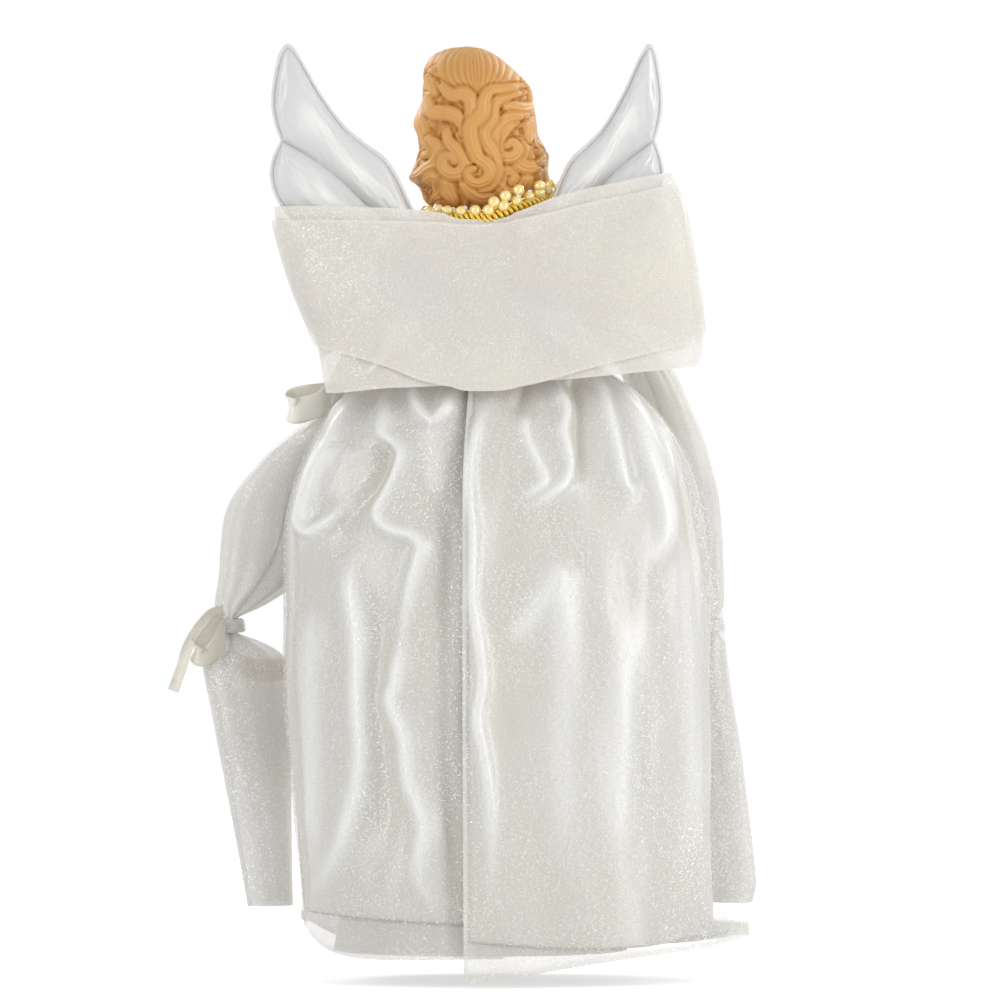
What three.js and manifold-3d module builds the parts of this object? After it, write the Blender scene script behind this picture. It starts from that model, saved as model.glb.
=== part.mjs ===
// Angel tree topper in millimetres: +Z up, face toward -Y, origin on the cone's axis, level with the
// lowest hem.
import * as THREE from 'three';
import { mergeVertices } from 'three/addons/utils/BufferGeometryUtils.js';
import Module from 'manifold-3d';

const wasm = await Module();
wasm.setup();

const turn = 2 * Math.PI;
const degrees = Math.PI / 180;
const clearance = 0.3;
const weld = 1e-4;
const clothThickness = 0.8;

// Card cone that goes over the tree's top shoot; its top is the waist, from which the upper pieces are
// measured
const cone = { foot: 48, top: 12, low: 9.6, height: 190, wall: 1, sides: 32, rows: 4 };
const waist = cone.height;

// Torso: rows of shares of its height, half width and half depth
const torso = {
  height: 53,
  halfWidth: 19.5,
  halfDepth: 11.8,
  levelShares: [
    [0.006, 0.718, 0.89], [0.208, 0.795, 0.932], [0.415, 0.872, 0.975], [0.66, 1, 1.017],
    [0.83, 1, 1], [0.943, 0.846, 0.864], [1, 0.462, 0.559],
  ],
  sides: 24,
  plugDepth: 14,
};
const shoulders = waist + torso.height;

// Shoulder plate with the neck, over the torso: rows of shares of its height, half width and half depth
const plate = {
  drop: 12,
  height: 27,
  wall: 1.2,
  levelShares: [
    [0, 1.005, 1], [0.185, 0.995, 0.985], [0.352, 0.892, 0.912], [0.5, 0.681, 0.779],
    [0.611, 0.446, 0.632], [0.704, 0.347, 0.544], [1, 0.329, 0.515],
  ],
  undersideShares: [0.25, 0.75, 1],
  ceilingShare: 0.85,
};
const plateLow = shoulders - plate.drop;
const plateTop = plateLow + plate.height;
const plateHalfWidth = torso.halfWidth + 2 * clearance + plate.wall;
const plateHalfDepth = torso.halfDepth + 2 * clearance + plate.wall;

// Head: rows of shares of its height, half width toward +X and toward -X, depth of the back, depth of the
// face
const head = {
  overNeck: 6.5,
  height: 53.4,
  halfWidth: 21.8,
  backDepth: 21,
  faceDepth: 17,
  levelShares: [
    [0, 0.6, 0.66, 0.6, 0.471], [0.047, 0.76, 0.86, 0.74, 0.647],
    [0.122, 0.85, 0.95, 0.82, 0.882], [0.197, 0.986, 1, 0.886, 0.965],
    [0.272, 0.954, 0.991, 0.924, 0.988], [0.354, 0.899, 0.982, 0.952, 1],
    [0.44, 0.899, 0.853, 0.981, 1.012], [0.526, 0.963, 0.817, 1, 1],
    [0.665, 0.862, 0.771, 0.99, 0.988], [0.758, 0.835, 0.725, 0.924, 0.941],
    [0.852, 0.743, 0.596, 0.79, 0.8], [0.936, 0.55, 0.431, 0.543, 0.565],
    [0.983, 0.312, 0.239, 0.286, 0.329], [1, 0.092, 0.092, 0.095, 0.118],
  ],
  sides: 42,
  rows: 26,
  endsShare: 0.5,
  lean: 4.3,
  leanFromShare: 0.72,
  lockHeight: 1.5,
};
const headLow = plateTop - head.overNeck;

// Moulded locks seen from behind: half widths and paths as shares of the head's half width and height
const lockShares = [
  { half: 0.1, path: [[0.5, 0.758], [0.41, 0.684], [0.21, 0.657], [0.12, 0.59], [0.16, 0.524]] },
  { half: 0.1, path: [[0.83, 0.721], [0.71, 0.599], [0.45, 0.567], [0.28, 0.515], [0.21, 0.449]] },
  { half: 0.11, path: [[-0.64, 0.758], [-0.28, 0.684], [-0.07, 0.609], [0.11, 0.496], [0.13, 0.412],
    [0.02, 0.309], [-0.12, 0.234]] },
  { half: 0.09, path: [[-0.12, 0.234], [-0.1, 0.159], [0.05, 0.133], [0.17, 0.178], [0.15, 0.243],
    [0.05, 0.253]] },
  { half: 0.1, path: [[-0.67, 0.684], [-0.28, 0.609], [-0.16, 0.459], [-0.32, 0.346], [-0.55, 0.356],
    [-0.58, 0.44], [-0.41, 0.451]] },
  { half: 0.11, path: [[-0.62, 0.552], [-0.85, 0.384], [-0.69, 0.29], [-0.48, 0.272]] },
  { half: 0.09, path: [[-0.18, 0.197], [-0.25, 0.112], [-0.43, 0.096], [-0.55, 0.169], [-0.45, 0.234],
    [-0.32, 0.204]] },
  { half: 0.1, path: [[0.43, 0.44], [0.52, 0.328], [0.43, 0.242], [0.26, 0.26], [0.28, 0.335]] },
  { half: 0.11, path: [[0.8, 0.478], [0.76, 0.346], [0.87, 0.253], [0.69, 0.206], [0.57, 0.29]] },
  { half: 0.11, path: [[0.96, 0.206], [0.73, 0.15], [0.57, 0.056]] },
  { half: 0.09, path: [[0.37, 0.197], [0.34, 0.103], [0.44, 0.028]] },
  { half: 0.11, path: [[-0.71, 0.253], [-0.85, 0.159], [-0.71, 0.066]] },
];

// Curls down each side of the face
const sideCurls = {
  lowShare: 0.047,
  highShare: 0.646,
  pitch: 6.4,
  height: 1.2,
  from: 62 * degrees,
  until: 128 * degrees,
  fadeIn: 20 * degrees,
  fadeOut: 12 * degrees,
  lag: 2,
};

// Face: bumps of across, up, half across, half up and height, as shares of the head's half width, height
// and face depth
const faceBumpShares = [
  [0, 0.375, 0.092, 0.082, 0.088],
  [0, 0.328, 0.096, 0.034, 0.088],
  [0, 0.24, 0.156, 0.026, 0.047],
  [0, 0.137, 0.211, 0.056, 0.082],
  [0.303, 0.272, 0.193, 0.075, 0.041],
  [-0.303, 0.272, 0.193, 0.075, 0.041],
  [0.257, 0.429, 0.138, 0.034, -0.053],
  [-0.257, 0.429, 0.138, 0.034, -0.053],
];
const face = { across: 1, half: 52 * degrees, blend: 10 * degrees };

// Wooden neck peg, in the torso and in the head
const peg = { radius: 4, inTorso: 17, inHead: 20.5, sides: 20 };
const pegLow = shoulders - peg.inTorso;
const pegHigh = headLow + peg.inHead;

// Gold braid with its row of pearls round the neckline, which stands off the shoulder plate
const neckline = {
  across: -3,
  beyondSides: 1.3,
  beyondBack: 10.3,
  withinFront: 0.2,
  below: 7.4,
  sideRise: 3.6,
  frontDrop: 3.5,
  pearls: 27,
  pearl: 2,
  string: 0.7,
  stations: 4,
  sides: 5,
  braidHeight: 3.4,
  braidThickness: 1,
};
const neckHeight = plateTop - neckline.below;
const neckHalfWidth = plateHalfWidth + neckline.beyondSides;
const neckBack = plateHalfDepth + neckline.beyondBack;
const neckFront = plateHalfDepth - neckline.withinFront;

// Skirt: how far it stands out past the cone, then rows of shares of its height, half width toward +X,
// half width toward -X and half depth
const skirt = {
  rise: 21.5,
  leftBeyond: 16,
  rightBeyond: 40.5,
  depthBeyond: 6,
  levelShares: [
    [1, 0.359, 0.26, 0.333], [0.965, 0.484, 0.395, 0.361], [0.913, 0.656, 0.565, 0.444],
    [0.842, 0.844, 0.712, 0.593], [0.742, 0.969, 0.814, 0.722], [0.586, 1, 0.87, 0.833],
    [0.43, 1, 0.904, 0.898], [0.274, 0.969, 0.938, 0.944], [0.118, 0.938, 0.983, 0.981],
    [0, 0.922, 1, 1],
  ],
  columns: 61,
  backDensityShare: 0.35,
  rows: 9,
  waves: 9,
  waveDrift: 3,
  startShare: 0.25,
  lap: 5 * degrees,
  lapStep: 1.5,
  lapRamp: 14 * degrees,
  pleat: 2.6,
  hemPleat: 1.5,
  backFrom: 0.05,
  backFull: 0.45,
  layerGap: 2.6,
  narrowing: 10.5,
  narrowFromShare: 0.8,
  narrowSide: 0.3,
  narrowFull: 0.95,
};
const skirtTop = waist + skirt.rise;
const skirtLeft = cone.foot + skirt.leftBeyond;
const skirtRight = cone.foot + skirt.rightBeyond;
const skirtDepth = cone.foot + skirt.depthBeyond;

// Hem heights, at shares of the way round from the back, toward +X first, as shares of the highest lift
const hems = {
  lift: 22.5,
  overShares: [
    [-0.02, 0.4], [0.14, 0.42], [0.25, 0.89], [0.36, 0.53], [0.5, 0.38], [0.62, 0.43], [0.75, 0.64],
    [0.88, 0.44], [0.93, 0.32], [0.97, 0.18], [1.02, 0.03],
  ],
  underShares: [
    [-0.02, 0.87], [0.25, 1], [0.5, 0.76], [0.76, 0.82], [0.86, 0.58], [0.94, 0.53], [1.02, 0.67],
  ],
};

// Folds that run down the sides and the front: bearing at the top and at the foot and half width in degrees,
// and height as a share of a pleat
const foldShares = [
  { top: 60, foot: 56, half: 9, height: 0.62 },
  { top: 118, foot: 112, half: 10, height: 0.62 },
  { top: 156, foot: 150, half: 10, height: 0.69 },
  { top: 194, foot: 192, half: 10, height: 0.69 },
  { top: 236, foot: 240, half: 10, height: 0.62 },
  { top: 290, foot: 296, half: 9, height: 0.62 },
];

// Folds on the back of each panel: height and half width in millimetres, path as shares of the skirt's half
// width toward -X and of its height
const backFold = { height: 2.3, half: 4.2, startShare: 0.25 };
const backFoldShares = {
  left: [
    [[0.42, 0.93], [0.49, 0.87], [0.55, 0.82], [0.61, 0.76], [0.62, 0.7], [0.53, 0.71]],
    [[0.33, 0.93], [0.34, 0.84], [0.28, 0.81], [0.34, 0.75], [0.36, 0.71], [0.24, 0.69], [0.22, 0.64],
      [0.27, 0.55]],
    [[0.27, 0.55], [0.32, 0.43], [0.26, 0.32], [0.2, 0.25], [0.19, 0.13]],
    [[0.5, 0.68], [0.44, 0.53], [0.43, 0.34], [0.5, 0.19], [0.66, 0.1]],
    [[0.24, 0.92], [0.16, 0.86], [0.09, 0.92]],
  ],
  right: [
    [[-0.06, 0.92], [0.02, 0.84], [0.04, 0.75], [0.03, 0.64], [0, 0.51], [0, 0.4], [-0.03, 0.25],
      [-0.04, 0.08]],
    [[-0.22, 0.93], [-0.3, 0.87], [-0.31, 0.8], [-0.24, 0.74], [-0.14, 0.73]],
    [[-0.39, 0.94], [-0.45, 0.87], [-0.52, 0.77], [-0.53, 0.71]],
    [[-0.46, 0.94], [-0.57, 0.86], [-0.65, 0.76], [-0.67, 0.69], [-0.63, 0.62]],
    [[-0.56, 0.94], [-0.67, 0.82], [-0.73, 0.75]],
  ],
};

// Bodice over the torso, from above the waist to below the shoulder plate, and the waistband over it,
// just above the skirt
const bodice = { aboveWaist: 9, belowPlate: 7.2, thickness: 0.9, rows: 4 };
const waistband = { above: 0.7, height: 6.8, thickness: 1.2, rows: 2 };

// Shawl: rows of shares of its height from the neckline, half width toward +X and toward -X, and depth of
// the back
const shawl = {
  belowPearls: 1,
  height: 74,
  left: 68,
  right: 73.6,
  back: 31.4,
  levelShares: [
    [0.222, 0.985, 0.876, 0.86], [0.005, 1, 0.931, 0.86], [-0.292, 0.912, 0.978, 0.873],
    [-0.549, 0.801, 1, 0.911], [-0.778, 0.757, 0.951, 1],
  ],
  squareness: 12,
  columns: 36,
  rows: 5,
  frontBulge: 9.8,
  frontShare: 0.5,
  layerGap: 1.9,
};
const shawlBase = neckHeight - neckline.pearl - shawl.belowPearls;
const shawlFront = plateHalfDepth + clearance + clothThickness / 2 + shawl.layerGap;

// Top and bottom edges of the shawl's layers, at shares of the way round from the back, as shares of its
// height
const shawlEdgeShares = {
  innerTop: [[0, 0], [0.06, 0.043], [0.2, 0.059], [0.3, 0.032], [0.5, -0.211], [0.7, 0.059], [0.8, 0.201],
    [0.93, 0.127], [1, 0]],
  innerFoot: [[0, -0.724], [0.1, -0.738], [0.22, -0.751], [0.3, -0.603], [0.5, -0.366], [0.7, -0.508],
    [0.78, -0.616], [0.9, -0.691], [1, -0.724]],
  outerTop: [[0, -0.022], [0.06, -0.008], [0.2, -0.001], [0.3, -0.022], [0.5, -0.238], [0.7, 0.005],
    [0.8, 0.147], [0.93, 0.066], [1, -0.022]],
  outerFoot: [
    [0, -0.754], [0.066, -0.711], [0.112, -0.643], [0.2, -0.549], [0.3, -0.481], [0.5, -0.346],
    [0.7, -0.454], [0.8, -0.522], [0.89, -0.632], [0.955, -0.724], [1, -0.754],
  ],
};

// Wings: outline of the one toward +X, across and up from the root, as shares of its span and height,
// in an upper and a lower run from notch to root
const wing = {
  drop: 7,
  span: 68,
  height: 68.6,
  upperShares: [
    [0.95, 0.551], [0.979, 0.631], [0.994, 0.729], [0.982, 0.845], [0.956, 0.962], [0.916, 1],
    [0.865, 0.945], [0.769, 0.778], [0.651, 0.618], [0.541, 0.525], [0.459, 0.464], [0.394, 0.369],
    [0.326, 0.226], [0.259, 0.117], [0.206, 0],
  ],
  lowerShares: [
    [0.95, 0.551], [0.988, 0.464], [1, 0.378], [0.971, 0.273], [0.89, 0.166], [0.779, 0.073],
    [0.618, -0.007], [0.426, -0.066], [0.287, -0.076], [0.206, 0],
  ],
  stitchShares: [[0.95, 0.551], [0.769, 0.44], [0.625, 0.327], [0.491, 0.195], [0.324, 0.067], [0.206, 0]],
  wire: 0.9,
  steps: 18,
  across: 4,
  edge: 1.3,
  slack: 1.3,
  crown: 3.4,
  fullWidth: 9,
  seamFromShare: 0.07,
  seamToShare: 0.92,
  wireStations: 60,
  wireSides: 5,
  rightShare: 0.8,
  rightShift: 5.06,
};
const wingRoot = shoulders - wing.drop;

// Block on the back of the shoulder plate that the wing wires turn in
const anchor = { halfWidth: 11.5, depth: 4.2, height: 13, legFrom: 5 };
const wingDepth = plateHalfDepth + clearance + anchor.depth / 2;

// Arms: wire through the shoulder and the sleeve, then a forearm with a hand; the wire's knee is given
// in shares of the way from its straight stretch to the sleeve's top
const arm = {
  drop: 16.5,
  wire: 1,
  inside: 7,
  straight: 22,
  kneeShares: [0.64, 0.31, 0.16],
  bore: 1.3,
  inForearm: 9.5,
  wireSteps: 24,
  wireSides: 6,
};
const armHeight = shoulders - arm.drop;

// Sleeves and cuffs: rows of shares of the length down, reach across, reach to the front,
// half length along the flank and half thickness
const sleeves = {
  drop: 5.5,
  length: 105.2,
  cuffLength: 91.9,
  beyondSkirt: 18,
  forward: 37.4,
  along: 22,
  thick: 10,
  left: {
    sleeveShares: [
      [0, 0.409, 0.12, 0.105, 0.23], [0.017, 0.415, 0.139, 0.2, 0.4], [0.048, 0.427, 0.174, 0.273, 0.54],
      [0.152, 0.476, 0.294, 0.3, 0.6], [0.257, 0.549, 0.455, 0.273, 0.54], [0.333, 0.591, 0.521, 0.227, 0.46],
      [0.39, 0.622, 0.535, 0.5, 0.74], [0.466, 0.695, 0.628, 0.727, 0.9], [0.608, 0.78, 0.749, 0.977, 1],
      [0.751, 0.817, 0.749, 1, 1], [0.865, 0.885, 0.642, 0.75, 0.9], [0.941, 0.963, 0.508, 0.427, 0.65],
      [0.96, 0.983, 0.455, 0.273, 0.5], [0.981, 1, 0.401, 0.095, 0.21], [1, 1, 0.401, 0.095, 0.21],
    ],
    cuffShares: [
      [0, 1, 0.401, 0.095, 0.21], [0.021, 1, 0.401, 0.095, 0.21], [0.048, 0.985, 0.412, 0.4, 0.46],
      [0.086, 0.965, 0.428, 0.7, 0.6], [0.13, 0.943, 0.45, 0.79, 0.66], [0.271, 0.924, 0.468, 0.72, 0.66],
      [0.619, 0.884, 0.535, 0.56, 0.62], [0.956, 0.848, 0.588, 0.4, 0.56], [1, 0.843, 0.594, 0.38, 0.56],
    ],
  },
  right: {
    sleeveShares: [
      [0, 0.409, 0.12, 0.105, 0.23], [0.017, 0.42, 0.15, 0.2, 0.4], [0.038, 0.445, 0.201, 0.245, 0.5],
      [0.105, 0.549, 0.388, 0.364, 0.6], [0.2, 0.659, 0.588, 0.455, 0.7], [0.333, 0.727, 0.775, 0.545, 0.74],
      [0.466, 0.744, 0.896, 0.773, 0.9], [0.608, 0.741, 0.976, 1, 0.96], [0.751, 0.756, 1, 1, 0.98],
      [0.865, 0.817, 0.947, 0.727, 0.9], [0.941, 0.878, 0.84, 0.427, 0.65], [0.96, 0.902, 0.775, 0.273, 0.5],
      [0.981, 0.927, 0.722, 0.095, 0.21], [1, 0.927, 0.722, 0.095, 0.21],
    ],
    cuffShares: [
      [0, 0.927, 0.722, 0.095, 0.21], [0.021, 0.927, 0.722, 0.095, 0.21], [0.048, 0.915, 0.749, 0.273, 0.46],
      [0.086, 0.89, 0.786, 0.409, 0.6], [0.227, 0.902, 0.829, 0.445, 0.56],
        [0.478, 0.951, 0.882, 0.445, 0.56],
      [0.913, 1.012, 0.92, 0.436, 0.54], [0.993, 1.007, 0.925, 0.382, 0.54],
    ],
  },
  alongAcross: 0.8,
  alongDeep: 0.6,
  sides: 16,
  cuffColumns: 15,
  longStep: 16,
  gathers: 4,
  gatherShare: 0.07,
  cuffGatherShare: 0.12,
  opening: 150 * degrees,
  openTo: 135 * degrees,
};
const sleeveTop = armHeight - sleeves.drop;
const sleeveFoot = sleeveTop - sleeves.length;
const cuffTop = sleeveFoot - 3 * clearance;
const sleeveReach = skirtLeft + sleeves.beyondSkirt;

// Forearms: paths as shares of the sleeve's reach, of their own reach to the front and of their rise
// over the cuff's top, and half height and half width on the way as shares of their thickness
const forearms = {
  beyondSkirt: 20,
  rise: 40,
  thick: 4,
  leftShares: [
    [1, 0.17, -0.25], [0.988, 0.32, -0.29], [0.915, 0.514, -0.36], [0.805, 0.676, -0.36],
      [0.659, 0.797, -0.198],
    [0.524, 0.872, 0.177], [0.415, 0.912, 0.552], [0.329, 0.939, 0.802], [0.256, 0.966, 0.977],
  ],
  rightShares: [
    [0.92, 0.392, -0.283], [0.878, 0.459, -0.258], [0.744, 0.635, -0.048], [0.573, 0.784, 0.277],
    [0.427, 0.892, 0.552], [0.366, 0.924, 0.677], [0.305, 0.953, 0.827], [0.244, 0.973, 0.977],
  ],
  tallShares: [0.7, 0.9, 0.95, 0.9, 0.825, 0.675, 1, 0.9, 0.3],
  wideShares: [0.7, 0.9, 0.95, 0.9, 0.825, 0.625, 0.55, 0.425, 0.225],
  sides: 12,
  rows: 14,
};
const forearmReach = skirtDepth + forearms.beyondSkirt;

// Ribbon ties at the elbows, and the bow at the top of one sleeve; bows as shares of their size from the tie
const tie = { ring: 3.9, tube: 1.2, stretch: 1.5, sides: 6, around: 16 };
const elbowBow = {
  size: 12,
  loopShares: [[0.2, 0.5, 0.1], [0.5, 0.74, -0.07], [0.87, 0.97, -0.45], [0.83, 1.1, -0.81],
    [0.5, 1, -0.74], [0.22, 0.74, -0.23]],
  loopWidth: 6,
  loopStations: 16,
  tailShares: [[0.17, 0.62, 0.42], [0.58, 1, 0.27], [1.08, 1.2, -0.45], [1.33, 1.2, -1.2],
    [1.53, 1.2, -1.76]],
  tailWidth: 3.2,
  tailStations: 9,
};
const upperTie = { down: 35, slack: 2.2, tube: 0.9 };
const upperBow = {
  size: 14,
  loopShares: [
    [0.107, 0.521, 0.386], [0.464, 0.693, 0.343], [0.85, 0.807, 0.243], [0.964, 0.921, 0.1],
    [0.821, 1.021, -0.014], [0.321, 0.864, 0.143], [0.107, 0.693, 0.343],
  ],
  loopWidth: 7.4,
  loopStations: 20,
};

// Photo colours of the pieces
const looks = {
  satin: { color: 0xf1efe6, roughness: 0.32, metalness: 0 },
  organza: { color: 0xf6f3e8, roughness: 0.55, metalness: 0 },
  wingSatin: { color: 0xeef0f2, roughness: 0.3, metalness: 0 },
  hair: { color: 0xd8a46c, roughness: 0.5, metalness: 0 },
  skin: { color: 0xeec3a2, roughness: 0.5, metalness: 0 },
  pearl: { color: 0xf2dfa0, roughness: 0.22, metalness: 0 },
  gold: { color: 0xe6b53c, roughness: 0.35, metalness: 0.6 },
  card: { color: 0xf2f0ea, roughness: 0.8, metalness: 0 },
  wood: { color: 0xd9b98a, roughness: 0.7, metalness: 0 },
  wire: { color: 0xc9ccd0, roughness: 0.3, metalness: 1 },
  foam: { color: 0xf4f2ec, roughness: 0.85, metalness: 0 },
};

const mix = THREE.MathUtils.lerp;
const ease = THREE.MathUtils.smoothstep;
const point = (x, y, z) => new THREE.Vector3(x, y, z);
const shares = (count, last = count - 1) => Array.from({ length: count }, (unused, i) => i / last);

// Rows of shares as rows of millimetres
const scaled = (rows, base, spans) => rows.map(([at, ...rest]) =>
  [base + at * spans[0], ...rest.map((share, i) => share * spans[i + 1])]);

// Value at a place in rows that begin with it, with smooth steps between the rows
function readRows(rows, at) {
  const up = rows[0][0] < rows[rows.length - 1][0];
  const sorted = up ? rows : [...rows].reverse();
  const last = sorted.length - 1;
  let i = 0;
  while (i < last - 1 && at > sorted[i + 1][0]) i += 1;
  const [a, b] = [sorted[i], sorted[i + 1]];
  const span = b[0] - a[0];
  const t = THREE.MathUtils.clamp((at - a[0]) / span, 0, 1);
  const before = sorted[Math.max(i - 1, 0)];
  const after = sorted[Math.min(i + 2, last)];
  return a.slice(1).map((value, k) => {
    const column = k + 1;
    const slopeIn = (b[column] - before[column]) / (b[0] - before[0]);
    const slopeOut = (after[column] - a[column]) / (after[0] - a[0]);
    const square = t * t;
    const cube = square * t;
    const rise = 3 * square - 2 * cube;
    return value * (1 - rise) + b[column] * rise + span *
      ((cube - 2 * square + t) * slopeIn + (cube - square) * slopeOut);
  });
}

// Closed geometry from points and triangles, facing outward
function closed(points, faces) {
  const raw = new THREE.BufferGeometry();
  raw.setAttribute('position', new THREE.Float32BufferAttribute(points.flatMap((p) => p.toArray()), 3));
  raw.setIndex(faces);
  const merged = mergeVertices(raw, weld);
  const index = merged.getIndex().array;
  const place = merged.getAttribute('position');
  const [a, b, c] = [point(0, 0, 0), point(0, 0, 0), point(0, 0, 0)];
  const kept = [];
  let volume = 0;
  for (let i = 0; i < index.length; i += 3) {
    const [p, q, r] = [index[i], index[i + 1], index[i + 2]];
    if (p === q || q === r || r === p) continue;
    kept.push(p, q, r);
    a.fromBufferAttribute(place, p);
    b.fromBufferAttribute(place, q);
    c.fromBufferAttribute(place, r);
    volume += a.dot(b.cross(c));
  }
  merged.setIndex(volume < 0 ? kept.reverse() : kept);
  merged.computeVertexNormals();
  return merged;
}

// Skin through rings of equal length, closed by flat ends or back onto its first ring
function skin(rings, ringed = false) {
  const around = rings[0].length;
  const points = rings.flat();
  const faces = [];
  const spans = ringed ? rings.length : rings.length - 1;
  for (let i = 0; i < spans; i += 1) {
    const here = i * around;
    const next = ((i + 1) % rings.length) * around;
    for (let j = 0; j < around; j += 1) {
      const k = (j + 1) % around;
      faces.push(here + j, here + k, next + k, here + j, next + k, next + j);
    }
  }
  const ends = ringed ? [] : [0, rings.length - 1];
  for (const end of ends) {
    const middle = points.length;
    points.push(rings[end].reduce((sum, p) => sum.add(p), point(0, 0, 0)).divideScalar(around));
    for (let j = 0; j < around; j += 1) {
      const pair = [end * around + j, end * around + ((j + 1) % around)];
      faces.push(middle, ...(end === 0 ? pair.reverse() : pair));
    }
  }
  return closed(points, faces);
}

// Cloth of one thickness on a grid of points, open or wrapped round on itself
function cloth(grid, thickness = clothThickness, wrapped = false) {
  const rows = grid.length;
  const columns = grid[0].length;
  const beside = (j) => (wrapped ? (j + columns) % columns : THREE.MathUtils.clamp(j, 0, columns - 1));
  const sideways = grid.map((row, i) => row.map((p, j) => {
    const along = row[beside(j + 1)].clone().sub(row[beside(j - 1)]);
    const down = grid[Math.min(i + 1, rows - 1)][j].clone().sub(grid[Math.max(i - 1, 0)][j]);
    return along.cross(down).normalize().multiplyScalar(thickness / 2);
  }));
  const points = [
    ...grid.flatMap((row, i) => row.map((p, j) => p.clone().add(sideways[i][j]))),
    ...grid.flatMap((row, i) => row.map((p, j) => p.clone().sub(sideways[i][j]))),
  ];
  const at = (side, i, j) => side * rows * columns + i * columns + (j % columns);
  const faces = [];
  const quad = (a, b, c, d) => faces.push(a, b, c, a, c, d);
  const spans = wrapped ? columns : columns - 1;
  const foot = rows - 1;
  for (let j = 0; j < spans; j += 1) {
    for (let i = 0; i < foot; i += 1) {
      quad(at(0, i, j), at(0, i, j + 1), at(0, i + 1, j + 1), at(0, i + 1, j));
      quad(at(1, i, j), at(1, i + 1, j), at(1, i + 1, j + 1), at(1, i, j + 1));
    }
    quad(at(0, 0, j), at(1, 0, j), at(1, 0, j + 1), at(0, 0, j + 1));
    quad(at(0, foot, j), at(0, foot, j + 1), at(1, foot, j + 1), at(1, foot, j));
  }
  for (let i = 0; !wrapped && i < foot; i += 1) {
    quad(at(0, i, 0), at(0, i + 1, 0), at(1, i + 1, 0), at(1, i, 0));
    quad(at(0, i, spans), at(1, i, spans), at(1, i + 1, spans), at(0, i + 1, spans));
  }
  return closed(points, faces);
}

// Level ring with its own half widths and half depths
function oval(height, across, deep, halfWidth, halfDepth, sides) {
  return shares(sides, sides).map((share) => {
    const angle = share * turn;
    return point(across + halfWidth * Math.cos(angle), deep + halfDepth * Math.sin(angle), height);
  });
}

// Round rod along a curve, as an extruded circle
function rod(path, radius, steps, sides) {
  const circle = new THREE.Shape().absarc(0, 0, radius, 0, turn, false);
  const options = { steps, extrudePath: path, curveSegments: sides / 2 };
  const extruded = new THREE.ExtrudeGeometry(circle, options);
  const place = extruded.getAttribute('position');
  const points = shares(place.count).map((unused, i) => point(0, 0, 0).fromBufferAttribute(place, i));
  return closed(points, points.map((unused, i) => i));
}

// Ring of varying thickness along a closed curve
function hoop(curve, upward, radiusAt, stations, sides) {
  const rings = shares(stations, stations).map((share) => {
    const centre = curve.getPointAt(share);
    const ahead = curve.getTangentAt(share);
    const outward = ahead.clone().cross(upward).normalize();
    const lift = outward.clone().cross(ahead);
    return shares(sides, sides).map((part) => {
      const angle = part * turn;
      const radius = radiusAt(share);
      return centre.clone().addScaledVector(outward, radius * Math.cos(angle)).addScaledVector(lift,
        radius * Math.sin(angle));
    });
  });
  return skin(rings, true);
}

// Flat ribbon that follows a curve, its width upright
function ribbon(path, width, stations, ringed) {
  const curve = new THREE.CatmullRomCurve3(path, ringed);
  const places = ringed ? shares(stations, stations) : shares(stations);
  const edges = [-width / 2, width / 2];
  const grid = edges.map((lift) => places.map((share) => curve.getPointAt(share).add(point(0, 0, lift))));
  return cloth(grid, clothThickness, ringed);
}

// Solid for cutting and joining, and the way back
function toSolid(geometry) {
  const bare = geometry.clone();
  bare.deleteAttribute('normal');
  bare.deleteAttribute('uv');
  const merged = mergeVertices(bare, weld);
  const vertProperties = Float32Array.from(merged.getAttribute('position').array);
  const triVerts = Uint32Array.from(merged.getIndex().array);
  return new wasm.Manifold(new wasm.Mesh({ numProp: 3, vertProperties, triVerts }));
}

function fromSolid(solid) {
  const mesh = solid.getMesh();
  const shaped = new THREE.BufferGeometry();
  shaped.setAttribute('position', new THREE.BufferAttribute(Float32Array.from(mesh.vertProperties), 3));
  shaped.setIndex(Array.from(mesh.triVerts));
  shaped.computeVertexNormals();
  return shaped;
}

const cut = (body, tools) => fromSolid(tools.reduce((left, tool) => left.subtract(toSolid(tool)),
  toSolid(body)));
const join = (body, other) => fromSolid(toSolid(body).add(toSolid(other)));
const straight = (from, to, radius, sides) => rod(new THREE.LineCurve3(from, to), radius, 1, sides);

const group = new THREE.Group();
function add(name, geometry, look) {
  const mesh = new THREE.Mesh(geometry, new THREE.MeshStandardMaterial(look));
  mesh.name = name;
  group.add(mesh);
}

// Cone
const coneRadius = (height) => mix(cone.foot, cone.top, (height - cone.low) / (cone.height - cone.low));
const coneHeights = shares(cone.rows).map((share) => mix(cone.low, cone.height, share));
add('support_cone', skin([
  ...coneHeights.map((height) => oval(height, 0, 0, coneRadius(height), coneRadius(height), cone.sides)),
  ...coneHeights.reverse().map((height) => {
    const radius = coneRadius(height) - cone.wall;
    return oval(height, 0, 0, radius, radius, cone.sides);
  }),
], true), looks.card);

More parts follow.
